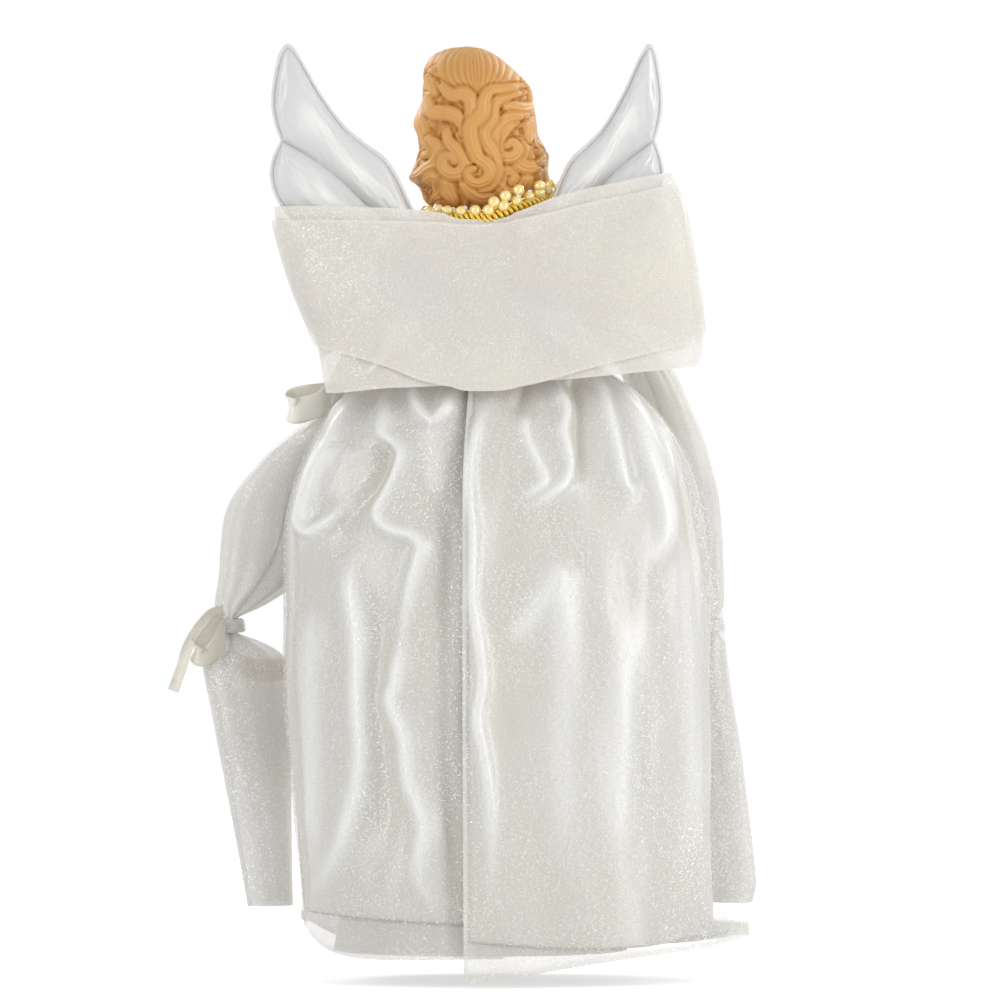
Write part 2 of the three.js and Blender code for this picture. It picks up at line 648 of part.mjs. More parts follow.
// Torso with its plug in the cone, a bore for the neck peg and one for each arm wire
const plugRadius = coneRadius(cone.height) - cone.wall - clearance;
const torsoLevels = scaled(torso.levelShares, waist, [torso.height, torso.halfWidth, torso.halfDepth]);
const torsoSize = (height) => readRows(torsoLevels, height);
const levelRing = ([height, halfWidth, halfDepth]) => oval(height, 0, 0, halfWidth, halfDepth, torso.sides);
const torsoBlock = skin([
  oval(cone.height - torso.plugDepth, 0, 0, plugRadius, plugRadius, torso.sides),
  oval(torsoLevels[0][0], 0, 0, plugRadius, plugRadius, torso.sides),
  ...torsoLevels.map(levelRing),
]);
const beyond = shoulders + cone.wall;
const pegBore = straight(point(0, 0, pegLow - clearance), point(0, 0, beyond), peg.radius + clearance,
  peg.sides);
const armBores = [-1, 1].map((side) => {
  const inner = point(side * (arm.inside - clearance), 0, armHeight);
  const outer = point(side * arm.straight, 0, armHeight);
  return straight(inner, outer, arm.bore, arm.wireSides);
});
add('torso_core', cut(torsoBlock, [pegBore, ...armBores]), looks.foam);
add('neck_peg', straight(point(0, 0, pegLow), point(0, 0, pegHigh), peg.radius, peg.sides), looks.wood);

// Shoulder plate: outside up to the neck, down the bore, then back out along the underside
const boreRing = (height) => oval(height, 0, 0, peg.radius + clearance, peg.radius + clearance, torso.sides);
const underside = plate.undersideShares.map((share) => {
  const height = shoulders - share * plate.drop;
  const [halfWidth, halfDepth] = torsoSize(height);
  return oval(height, 0, 0, halfWidth + 2 * clearance, halfDepth + 2 * clearance, torso.sides);
});
const plateLevels = scaled(plate.levelShares, plateLow, [plate.height, plateHalfWidth, plateHalfDepth]);
const neckRadius = plateLevels[plateLevels.length - 2][1];
const ceilingHeight = shoulders + clearance;
const ceilingRing = readRows(plateLevels, ceilingHeight).map((half) => half * plate.ceilingShare);
add('shoulder_plate', skin([
  ...plateLevels.map(levelRing),
  boreRing(plateTop),
  boreRing(ceilingHeight),
  levelRing([ceilingHeight, ...ceilingRing]),
  ...underside,
], true), looks.skin);

// Distance from a place to a path
function distanceTo(path, across, up) {
  let nearest = Infinity;
  for (let i = 0; i < path.length - 1; i += 1) {
    const [[ax, az], [bx, bz]] = [path[i], path[i + 1]];
    const [dx, dz] = [bx - ax, bz - az];
    const t = THREE.MathUtils.clamp(((across - ax) * dx + (up - az) * dz) / (dx * dx + dz * dz), 0, 1);
    nearest = Math.min(nearest, Math.hypot(across - ax - t * dx, up - az - t * dz));
  }
  return nearest;
}

// How far the moulded hair and face stand out of the plain head
const headPlace = ([across, up]) => [across * head.halfWidth, headLow + up * head.height];
const locks = lockShares.map(({ half, path }) => ({ half: half * head.halfWidth,
  path: path.map(headPlace) }));
const faceBumps = faceBumpShares.map(([across, up, halfAcross, halfUp, height]) => [
  ...headPlace([across, up]),
  halfAcross * head.halfWidth,
  halfUp * head.height,
  height * head.faceDepth,
]);
const curlLow = headLow + sideCurls.lowShare * head.height;
const curlHigh = headLow + sideCurls.highShare * head.height;
function headRelief(bearing, across, up) {
  const back = Math.cos(bearing);
  let relief = 0;
  for (const lock of locks) {
    const near = distanceTo(lock.path, across, up) / lock.half;
    relief = Math.max(relief, head.lockHeight * Math.sqrt(Math.max(0, 1 - near * near)));
  }
  relief *= ease(back, 0, Math.cos(turn / 6));
  const away = Math.abs(Math.atan2(Math.sin(bearing), back));
  const begun = ease(away, sideCurls.from, sideCurls.from + sideCurls.fadeIn);
  const beside = begun * (1 - ease(away, sideCurls.until, sideCurls.until + sideCurls.fadeOut));
  const inHeight = ease(up, curlLow, curlLow + sideCurls.pitch) *
    (1 - ease(up, curlHigh, curlHigh + sideCurls.pitch));
  const curl = Math.abs(Math.sin((Math.PI * up) / sideCurls.pitch + sideCurls.lag * away));
  relief += beside * inHeight * sideCurls.height * curl;
  if (back < 0) {
    const frontness = 1 - ease(Math.PI - away, face.half - face.blend, face.half);
    for (const [x, z, halfAcross, halfUp, height] of faceBumps) {
      const spread = ((across - face.across - x) / halfAcross) ** 2 + ((up - z) / halfUp) ** 2;
      relief += frontness * height * Math.exp(-spread);
    }
  }
  return relief;
}

// Head on the peg and the neck
const headTop = headLow + head.height;
const headSpans = [head.height, head.halfWidth, head.halfWidth, head.backDepth, head.faceDepth];
const headLevels = scaled(head.levelShares, headLow, headSpans);
const headRings = shares(head.rows).map((share) => {
  const up = mix(headLow, headTop, mix(share, (1 - Math.cos(share * Math.PI)) / 2, head.endsShare));
  const [left, right, back, front] = readRows(headLevels, up);
  const middle = head.lean * ease(up, mix(headLow, headTop, head.leanFromShare), headTop);
  return shares(head.sides, head.sides).map((part) => {
    const bearing = part * turn;
    const [sine, cosine] = [Math.sin(bearing), Math.cos(bearing)];
    const [halfWidth, halfDepth] = [sine > 0 ? left : right, cosine > 0 ? back : front];
    const plain = point(sine * halfWidth, cosine * halfDepth, 0);
    const out = headRelief(bearing, plain.x, up);
    const reach = plain.length();
    return plain.multiplyScalar((reach + out) / reach).add(point(middle, 0, up));
  });
});
const socketLow = point(0, 0, headLow - cone.wall);
const neckSocket = straight(socketLow, point(0, 0, plateTop + clearance), neckRadius + clearance,
  torso.sides);
const pegSocket = straight(point(0, 0, headLow), point(0, 0, pegHigh + clearance), peg.radius + clearance,
  peg.sides);
add('head', cut(skin(headRings), [neckSocket, pegSocket]), looks.hair);

// Neckline curve, higher at both sides and lower in front
function necklinePoint(share) {
  const bearing = share * turn;
  const [sine, cosine] = [Math.sin(bearing), Math.cos(bearing)];
  const deep = cosine * (cosine > 0 ? neckBack : neckFront);
  const rise = sine < 0 ? -neckline.sideRise * 2 * sine : 0;
  const drop = cosine < 0 ? neckline.frontDrop * cosine : 0;
  return point(neckline.across + sine * neckHalfWidth, deep, neckHeight + rise + drop);
}
const neckCurve = new THREE.CatmullRomCurve3(shares(neckline.pearls, neckline.pearls).map(necklinePoint),
  true);
const pearlStations = neckline.pearls * neckline.stations;
const pearlRadius = (share) => {
  const along = (share * neckline.pearls) % 1;
  const bead = Math.sqrt(Math.max(0, 1 - (2 * along - 1) ** 2));
  return Math.max(neckline.string, neckline.pearl * bead);
};
add('neck_pearls', hoop(neckCurve, point(0, 0, 1), pearlRadius, pearlStations, neckline.sides), looks.pearl);
const braidDrop = neckline.pearl + clearance;
const braidRows = [0, neckline.braidHeight].map((drop) => (
  shares(neckline.pearls, neckline.pearls).map((share) =>
    necklinePoint(share).sub(point(0, 0, braidDrop + drop)))
));
add('neck_braid', cloth(braidRows, neckline.braidThickness, true), looks.gold);

// Bands that lie round the torso at an offset
function torsoBand({ thickness, rows }, low, high, offset) {
  const grid = shares(rows).map((share) => {
    const height = mix(high, low, share);
    const [halfWidth, halfDepth] = torsoSize(height);
    const out = offset + thickness / 2;
    return oval(height, 0, 0, halfWidth + out, halfDepth + out, torso.sides);
  });
  return cloth(grid, thickness, true);
}
add('bodice', torsoBand(bodice, waist + bodice.aboveWaist, plateLow - bodice.belowPlate, clearance),
  looks.satin);
const bandLow = skirtTop + waistband.above;
const bandOffset = 2 * clearance + bodice.thickness;
add('waistband', torsoBand(waistband, bandLow, bandLow + waistband.height, bandOffset), looks.satin);

// Skirt layers, open at the back and lapped there
const skirtLevels = scaled(skirt.levelShares, 0, [skirtTop, skirtLeft, skirtRight, skirtDepth]);
const onSkirt = (path) => path.map(([across, up]) => [across * skirtRight, up * skirtTop]);
const panelFolds = { left: backFoldShares.left.map(onSkirt), right: backFoldShares.right.map(onSkirt) };
function panelRelief(panel, across, height) {
  return panel.reduce((relief, path) => {
    const away = distanceTo(path, across, height) / backFold.half;
    return relief + backFold.height * Math.exp(-away * away);
  }, 0);
}
function backRelief(bearing, across, height) {
  const fromMiddle = Math.atan2(Math.sin(bearing), Math.cos(bearing));
  const [left, right] = [panelFolds.left,
    panelFolds.right].map((panel) => panelRelief(panel, across, height));
  const begun = Math.min(1, (1 - height / skirtTop) / backFold.startShare);
  return begun * mix(right, left, ease(fromMiddle, -skirt.lap, skirt.lap));
}
function flankRelief(bearing, fall) {
  const wave = (1 - Math.cos(skirt.waves * bearing + Math.sin(skirt.waveDrift * bearing))) / 2;
  let relief = -wave * mix(skirt.pleat, skirt.hemPleat, fall);
  for (const fold of foldShares) {
    const middle = mix(fold.top, fold.foot, fall) * degrees;
    const away = Math.atan2(Math.sin(bearing - middle), Math.cos(bearing - middle)) / (fold.half * degrees);
    relief += fold.height * skirt.pleat * Math.exp(-away * away) * wave;
  }
  return relief * Math.min(1, fall / skirt.startShare);
}
function skirtPoint(bearing, height, inset, narrowing) {
  const [left, right, halfDepth] = readRows(skirtLevels, height);
  const [sine, cosine] = [Math.sin(bearing), Math.cos(bearing)];
  const fall = 1 - height / skirtTop;
  const across = sine > 0 ? left : right;
  const backness = ease(cosine, skirt.backFrom, skirt.backFull);
  const relief = mix(flankRelief(bearing, fall), backRelief(bearing, sine * across, height), backness) -
    inset;
  const narrow = narrowing * ease(fall, 1 - skirt.narrowFromShare, 1) *
    ease(-sine, skirt.narrowSide, skirt.narrowFull);
  return point(sine * (across + relief - narrow), cosine * (halfDepth + relief), height);
}

function skirtLayer(inset, hemShares, lapClear, narrowing) {
  const hem = scaled(hemShares, 0, [1, hems.lift]);
  const reach = skirt.lap / (1 - skirt.backDensityShare);
  const grid = shares(skirt.rows).map((down) => (
    shares(skirt.columns).map((round) => {
      const even = mix(-reach, turn + reach, round);
      const bearing = even - skirt.backDensityShare * Math.sin(even);
      const foot = readRows(hem, bearing / turn)[0];
      const height = mix(skirtTop, foot, down);
      const toLap = Math.min(Math.abs(bearing), Math.abs(turn - bearing));
      const over = skirt.lapStep * ease(bearing, turn - skirt.lapRamp, turn - skirt.lap);
      const clear = lapClear * (1 - ease(toLap, skirt.lapRamp, 2 * skirt.lapRamp));
      return skirtPoint(bearing, height, inset - over - clear, narrowing);
    })
  ));
  return cloth(grid);
}
const overInset = clothThickness;
add('underskirt', skirtLayer(overInset + skirt.layerGap, hems.underShares, 0, skirt.narrowing), looks.satin);
add('overskirt', skirtLayer(overInset, hems.overShares, skirt.lapStep, 0), looks.organza);

// Bearing at a share of the way round the shawl's squared oval
const power = 2 / shawl.squareness;
const ovalSteps = 720;
const ovalLengths = [0];
const ovalPlace = (step) => {
  const bearing = (step / ovalSteps) * turn;
  const [sine, cosine] = [Math.abs(Math.sin(bearing)), Math.abs(Math.cos(bearing))];
  const across = Math.sign(Math.sin(bearing)) * sine ** power * shawl.left;
  return new THREE.Vector2(across, Math.sign(Math.cos(bearing)) * cosine ** power * shawl.back);
};
for (let step = 1; step <= ovalSteps; step += 1) {
  ovalLengths.push(ovalLengths[step - 1] + ovalPlace(step).distanceTo(ovalPlace(step - 1)));
}
function shawlBearing(share) {
  const length = share * ovalLengths[ovalSteps];
  const step = Math.max(1, ovalLengths.findIndex((reached) => reached >= length));
  const t = (length - ovalLengths[step - 1]) / (ovalLengths[step] - ovalLengths[step - 1]);
  return ((step - 1 + t) / ovalSteps) * turn;
}

// Shawl layers: round the back and the arms, gathered on the chest
const shawlLevels = scaled(shawl.levelShares, shawlBase, [shawl.height, shawl.left, shawl.right, shawl.back]);
function shawlLayer(inset, topShares, footShares) {
  const [top, foot] = [topShares, footShares].map((edge) =>
    edge.map(([at, up]) => [at, shawlBase + up * shawl.height]));
  const grid = shares(shawl.rows).map((down) => (
    shares(shawl.columns, shawl.columns).map((round) => {
      const bearing = shawlBearing(round);
      const [sine, cosine] = [Math.sin(bearing), Math.cos(bearing)];
      const height = mix(readRows(top, round)[0], readRows(foot, round)[0], down);
      const [left, right, back] = readRows(shawlLevels, height);
      const toSide = Math.abs(sine) ** power;
      const front = shawlFront + shawl.frontBulge * ease(toSide, 0, shawl.frontShare);
      const across = Math.sign(sine) * toSide * ((sine > 0 ? left : right) - inset);
      const deep = Math.sign(cosine) * Math.abs(cosine) ** power * ((cosine > 0 ? back : front) - inset);
      return point(across, deep, height);
    })
  ));
  return cloth(grid, clothThickness, true);
}
add('shawl_inner', shawlLayer(shawl.layerGap, shawlEdgeShares.innerTop, shawlEdgeShares.innerFoot),
  looks.organza);
add('shawl_outer', shawlLayer(0, shawlEdgeShares.outerTop, shawlEdgeShares.outerFoot), looks.organza);

// Block for the wing wires
const block = new THREE.BoxGeometry(2 * anchor.halfWidth, anchor.depth, anchor.height);
block.translate(0, wingDepth, wingRoot);
const wingLegs = [-1, 1].map((side) => {
  const inner = point(side * (anchor.legFrom - clearance), wingDepth, wingRoot);
  const outer = point(side * (anchor.halfWidth + clearance), wingDepth, wingRoot);
  return straight(inner, outer, wing.wire + clearance, arm.wireSides);
});
add('wing_anchor', cut(block, wingLegs), looks.foam);

// Wing chains, moved inward by a distance and mirrored for the -X side
function wingRun(run, side) {
  const place = ([across, up]) => {
    const out = across * wing.span;
    const placed = side > 0 ? out : wing.rightShare * out + wing.rightShift;
    return point(side * placed, 0, wingRoot + up * wing.height);
  };
  return new THREE.CatmullRomCurve3(run.map(place), false, 'centripetal');
}
function insetRun(curve, steps, inset, inward) {
  return shares(steps).map((share) => {
    const normal = curve.getTangentAt(share).cross(point(0, inward, 0));
    return curve.getPointAt(share).addScaledVector(normal, inset);
  });
}
function wingPieces(side) {
  const [upper, lower, stitch] = [wing.upperShares, wing.lowerShares,
    wing.stitchShares].map((run) => wingRun(run, side));
  const steps = wing.steps + 1;
  const wireUpper = insetRun(upper, steps, wing.wire, side);
  const wireLower = insetRun(lower, steps, wing.wire, -side);
  const wirePath = [...wireUpper.slice(1, -1), ...wireLower.slice(1, -1).reverse()];
  const wireCurve = new THREE.CatmullRomCurve3(wirePath, true, 'centripetal');
  const bare = hoop(wireCurve, point(0, 1, 0), () => wing.wire, wing.wireStations, wing.wireSides);
  const rootStep = wireUpper.length - 3 + 1 / 2;
  const legEnd = wireCurve.getPoint(rootStep / wirePath.length).setZ(wingRoot);
  const leg = straight(point(side * anchor.legFrom, 0, wingRoot), legEnd, wing.wire, wing.wireSides);
  const wire = join(bare, leg);
  wire.translate(0, wingDepth, 0);
  return { wire, panel: wingPanel(upper, lower, stitch, side) };
}
function wingPanel(upper, lower, stitch, side) {
  const steps = wing.steps + 1;
  const inset = 2 * wing.wire + clearance + wing.slack;
  const seam = shares(steps).map((share) => stitch.getPointAt(mix(wing.seamFromShare, wing.seamToShare,
    share)));
  const points = [];
  const faces = [];
  const add4 = (a, b, c, d) => faces.push(a, b, c, a, c, d);
  const runs = [insetRun(upper, steps, inset, side), insetRun(lower, steps, inset, -side)];
  const ends = [seam[0], seam[steps - 1]];
  for (const run of runs) {
    const first = points.length;
    const width = wing.across + 1;
    const rim = run.map((p, i) => (i === 0 ? ends[0] : i === steps - 1 ? ends[1] : p));
    for (const front of [1, -1]) {
      for (let i = 0; i < steps; i += 1) {
        for (let j = 0; j < width; j += 1) {
          const share = j / wing.across;
          const fullness = Math.min(1, rim[i].distanceTo(seam[i]) / wing.fullWidth);
          const half = (wing.edge + wing.crown * fullness * Math.sin(share * Math.PI)) / 2;
          points.push(seam[i].clone().lerp(rim[i], share).setY(wingDepth + front * half));
        }
      }
    }
    const at = (front, i, j) => first + front * steps * width + i * width + j;
    for (let i = 0; i < wing.steps; i += 1) {
      for (let j = 0; j < wing.across; j += 1) {
        const flip = run === runs[0];
        const near = [at(0, i, j), at(0, i, j + 1), at(0, i + 1, j + 1), at(0, i + 1, j)];
        const far = [at(1, i, j), at(1, i + 1, j), at(1, i + 1, j + 1), at(1, i, j + 1)];
        add4(...(flip ? near : near.reverse()));
        add4(...(flip ? far : far.reverse()));
      }
      const rimQuad = [at(0, i, wing.across), at(1, i, wing.across), at(1, i + 1, wing.across),
        at(0, i + 1, wing.across)];
      add4(...(run === runs[0] ? rimQuad : rimQuad.reverse()));
    }
  }
  return closed(points, faces);
}
for (const [name, side] of [['left', 1], ['right', -1]]) {
  const { wire, panel } = wingPieces(side);
  add(`${name}_wing`, panel, looks.wingSatin);
  add(`${name}_wing_wire`, wire, looks.wire);
}

// Point on a sleeve or a cuff, its long half width laid along the skirt's flank
function sleevePoint(levels, height, angle, side, fullness) {
  const [across, deep, along, thick] = readRows(levels, height);
  const [u, v] = [Math.cos(angle) * along * fullness, Math.sin(angle) * thick * fullness];
  const x = across + side * (sleeves.alongAcross * u + sleeves.alongDeep * v);
  const y = deep + sleeves.alongDeep * u - sleeves.alongAcross * v;
  return point(x, y, height);
}
function gather(angle, share) {
  return 1 - sleeves.gatherShare * Math.sin(share * Math.PI) * (1 - Math.cos(sleeves.gathers * angle)) / 2;
}
function levelRows(levels) {
  const heights = levels.map(([height]) => height);
  const below = heights.slice(1).flatMap((height, i) => (
    heights[i] - height > sleeves.longStep ? [mix(heights[i], height, 1 / 2), height] : [height]
  ));
  return [heights[0], ...below];
}
function puff(levels, side) {
  const rows = levelRows(levels);
  const grid = rows.map((height, i) => (
    shares(sleeves.sides, sleeves.sides).map((part) => (
      sleevePoint(levels, height, part * turn, side, gather(part * turn, i / (rows.length - 1)))
    ))
  ));
  return cloth(grid, clothThickness, true);
}
function cuff(levels, side) {
  const rows = levelRows(levels);
  const grid = rows.map((height, i) => {
    const down = i / (rows.length - 1);
    return shares(sleeves.cuffColumns).map((part) => {
      const half = sleeves.opening / 2;
      const angle = mix(half, turn - half, part) + sleeves.openTo;
      const gathered = sleeves.cuffGatherShare * down * Math.sin(sleeves.gathers * angle) ** 2;
      return sleevePoint(levels, height, angle, side, 1 - gathered);
    });
  });
  return cloth(grid);
}

// Arms, sleeves, cuffs and ties of each side
const sleeveLevels = (rows, top, length, side) => (
  scaled(rows, top, [-length, side * sleeveReach, -sleeves.forward, sleeves.along, sleeves.thick])
);
for (const [name, side] of [['left', 1], ['right', -1]]) {
  const levels = sleeveLevels(sleeves[name].sleeveShares, sleeveTop, sleeves.length, side);
  const cuffLevels = sleeveLevels(sleeves[name].cuffShares, cuffTop, sleeves.cuffLength, side);
  const down = levels.map(([height, across, deep]) => point(across, deep, height));
  const [, wristAcross, wristDeep] = cuffLevels[0];
  const [kneeAcross, kneeDeep, kneeUp] = arm.kneeShares;
  const straightEnd = point(side * arm.straight, 0, armHeight);
  const knee = point(mix(straightEnd.x, down[0].x, kneeAcross), mix(0, down[0].y, kneeDeep),
    mix(armHeight, down[0].z, kneeUp));
  const wirePath = [
    point(side * arm.inside, 0, armHeight),
    straightEnd,
    knee,
    ...down.slice(0, 1),
    ...down.slice(3, -3),
    ...down.slice(-2),
    point(wristAcross, wristDeep, cuffTop - arm.inForearm),
  ];
  const wireCurve = new THREE.CatmullRomCurve3(wirePath, false, 'centripetal');
  const wire = rod(wireCurve, arm.wire, arm.wireSteps, arm.wireSides);
  add(`${name}_arm_wire`, wire, looks.wire);
  add(`${name}_sleeve`, puff(levels, side), looks.organza);
  add(`${name}_cuff`, cuff(cuffLevels, side), looks.organza);

  const places = forearms[`${name}Shares`].map(([across, deep, up]) => (
    point(side * across * sleeveReach, -deep * forearmReach, cuffTop + up * forearms.rise)
  ));
  const path = new THREE.CatmullRomCurve3(places, false, 'centripetal');
  const rings = shares(forearms.rows).map((share) => {
    const centre = path.getPoint(share);
    const ahead = path.getTangent(share);
    const upward = point(0, 0, 1).addScaledVector(ahead, -ahead.z).normalize();
    const sideways = ahead.clone().cross(upward);
    const [tall, wide] = [forearms.tallShares, forearms.wideShares].map((row) => {
      const spot = share * (row.length - 1);
      const i = Math.min(Math.floor(spot), row.length - 2);
      return forearms.thick * mix(row[i], row[i + 1], spot - i);
    });
    return shares(forearms.sides, forearms.sides).map((part) => (
      centre.clone().addScaledVector(upward, tall * Math.sin(part * turn)).addScaledVector(sideways,
        wide * Math.cos(part * turn))
    ));
  });
  const socket = rod(wireCurve, arm.wire + clearance, arm.wireSteps, arm.wireSides);
  add(`${name}_forearm`, cut(skin(rings), [socket]), looks.skin);

  const knot = new THREE.TorusGeometry(tie.ring, tie.tube, tie.sides, tie.around);
  knot.scale(1, 1, tie.stretch);
  knot.translate(wristAcross, wristDeep, (sleeveFoot + cuffTop) / 2);
  add(`${name}_tie`, mergeVertices(knot.deleteAttribute('uv').deleteAttribute('normal'), weld), looks.satin);
}

// Bows of the left sleeve: a loop and a tail at the elbow, a band with a loop under the shawl
const leftLevels = sleeveLevels(sleeves.left.sleeveShares, sleeveTop, sleeves.length, 1);
const elbow = point(leftLevels[leftLevels.length - 1][1], leftLevels[leftLevels.length - 1][2],
  (sleeveFoot + cuffTop) / 2);
const bowPath = (centre, size, rows) => rows.map((row) => point(...row).multiplyScalar(size).add(centre));
const elbowLoop = bowPath(elbow, elbowBow.size, elbowBow.loopShares);
const elbowTail = bowPath(elbow, elbowBow.size, elbowBow.tailShares);
add('left_tie_loop', ribbon(elbowLoop, elbowBow.loopWidth, elbowBow.loopStations, true), looks.organza);
add('left_tie_tail', ribbon(elbowTail, elbowBow.tailWidth, elbowBow.tailStations, false), looks.organza);
const bandHeight = sleeveTop - upperTie.down;
const [bandAcross, bandDeep, bandAlong, bandThick] = readRows(leftLevels, bandHeight);
const bandCurve = new THREE.CatmullRomCurve3(shares(tie.around, tie.around).map((share) => {
  const u = Math.cos(share * turn) * (bandAlong + upperTie.slack);
  const v = Math.sin(share * turn) * (bandThick + upperTie.slack);
  const x = bandAcross + sleeves.alongAcross * u + sleeves.alongDeep * v;
  return point(x, bandDeep + sleeves.alongDeep * u - sleeves.alongAcross * v, bandHeight);
}), true);
add('left_upper_tie', hoop(bandCurve, point(0, 0, 1), () => upperTie.tube, tie.around, tie.sides),
  looks.satin);
const upperLoop = bowPath(point(bandAcross, bandDeep, bandHeight), upperBow.size, upperBow.loopShares);
add('left_upper_loop', ribbon(upperLoop, upperBow.loopWidth, upperBow.loopStations, true), looks.satin);

export default group;
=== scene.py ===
import math
from types import SimpleNamespace as Sizes

import bmesh
import bpy
import numpy as np
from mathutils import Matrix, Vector


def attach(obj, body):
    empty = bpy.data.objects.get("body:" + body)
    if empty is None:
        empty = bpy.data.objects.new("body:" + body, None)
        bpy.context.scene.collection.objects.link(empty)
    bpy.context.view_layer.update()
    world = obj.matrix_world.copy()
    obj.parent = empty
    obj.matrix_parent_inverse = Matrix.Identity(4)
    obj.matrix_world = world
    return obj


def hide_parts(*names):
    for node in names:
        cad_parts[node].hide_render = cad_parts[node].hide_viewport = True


# Angel tree topper in metres: +Z up, the face toward -Y, seen from behind as in the photo
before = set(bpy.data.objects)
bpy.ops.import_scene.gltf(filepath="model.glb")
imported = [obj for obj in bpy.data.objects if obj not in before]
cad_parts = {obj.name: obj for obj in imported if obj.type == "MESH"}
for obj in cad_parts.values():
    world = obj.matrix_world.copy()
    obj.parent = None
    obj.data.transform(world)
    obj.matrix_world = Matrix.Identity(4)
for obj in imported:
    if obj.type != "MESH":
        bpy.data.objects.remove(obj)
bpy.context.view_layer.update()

TURN = 2 * math.pi

# Points this close are one, and a shorter vector than the next has no direction
WELD = 1e-6
TINY = 1e-12

# Points worked out between two points of a smooth path
CURVE_STEPS = 12

# View: width of the frame at the figure, its middle, how far off the camera stands, and its sensor
VIEW = Sizes(width=0.327, across=-0.0065, up=0.1566, distance=3.0, sensor_mm=36, clip=50)

# Skirt: height, half width toward +X, half width toward -X, half depth of the outer layer
SKIRT_LEVELS = [
    (0.2115, 0.023, 0.023, 0.018),
    (0.204, 0.031, 0.035, 0.0195),
    (0.193, 0.042, 0.05, 0.024),
    (0.178, 0.054, 0.063, 0.032),
    (0.157, 0.062, 0.072, 0.039),
    (0.124, 0.064, 0.077, 0.045),
    (0.091, 0.064, 0.08, 0.0485),
    (0.058, 0.062, 0.083, 0.051),
    (0.025, 0.06, 0.087, 0.053),
    (0.0, 0.059, 0.0885, 0.054),
]
SKIRT = Sizes(
    waist=0.2115, columns=420, rows=260, lap=math.radians(5), lap_ramp=math.radians(16),
    over_inset=0.0012, under_inset=0.0024, lap_up=0.0016, lap_down=0.0014, satin=0.0003,
    # Among these: the strength and depth of the painted shade in the valleys, and the fold height at which
    # the painted highlight is full
    free_cover_share=0.85, free_blend=0.001, valley_share=0.7, valley_depth=0.0022, crest_full=0.0024,
    narrowing=0.0105, narrow_from=0.17, narrow_side_shares=(0.3, 0.95), back_shares=(0.02, 0.3),
    wave=0.0003, waves_round=6, wave_seed=3, wave_rate=5.0,
)

# Hem heights, at shares of the way round from the back, toward +X first
OVER_HEM = [
    (-0.02, 0.009), (0.14, 0.0094), (0.25, 0.02), (0.36, 0.012), (0.5, 0.0086), (0.62, 0.0096),
    (0.75, 0.0144), (0.88, 0.01), (0.93, 0.0072), (0.97, 0.004), (1.02, 0.0006),
]
UNDER_HEM = [
    (-0.02, 0.0195), (0.25, 0.0225), (0.5, 0.017), (0.76, 0.0184), (0.86, 0.013), (0.94, 0.012),
    (1.02, 0.015),
]

# Width of the dense edge that a hem or selvedge has
HEM = Sizes(skirt=0.0016, shawl=0.0009, cuff=0.0011)

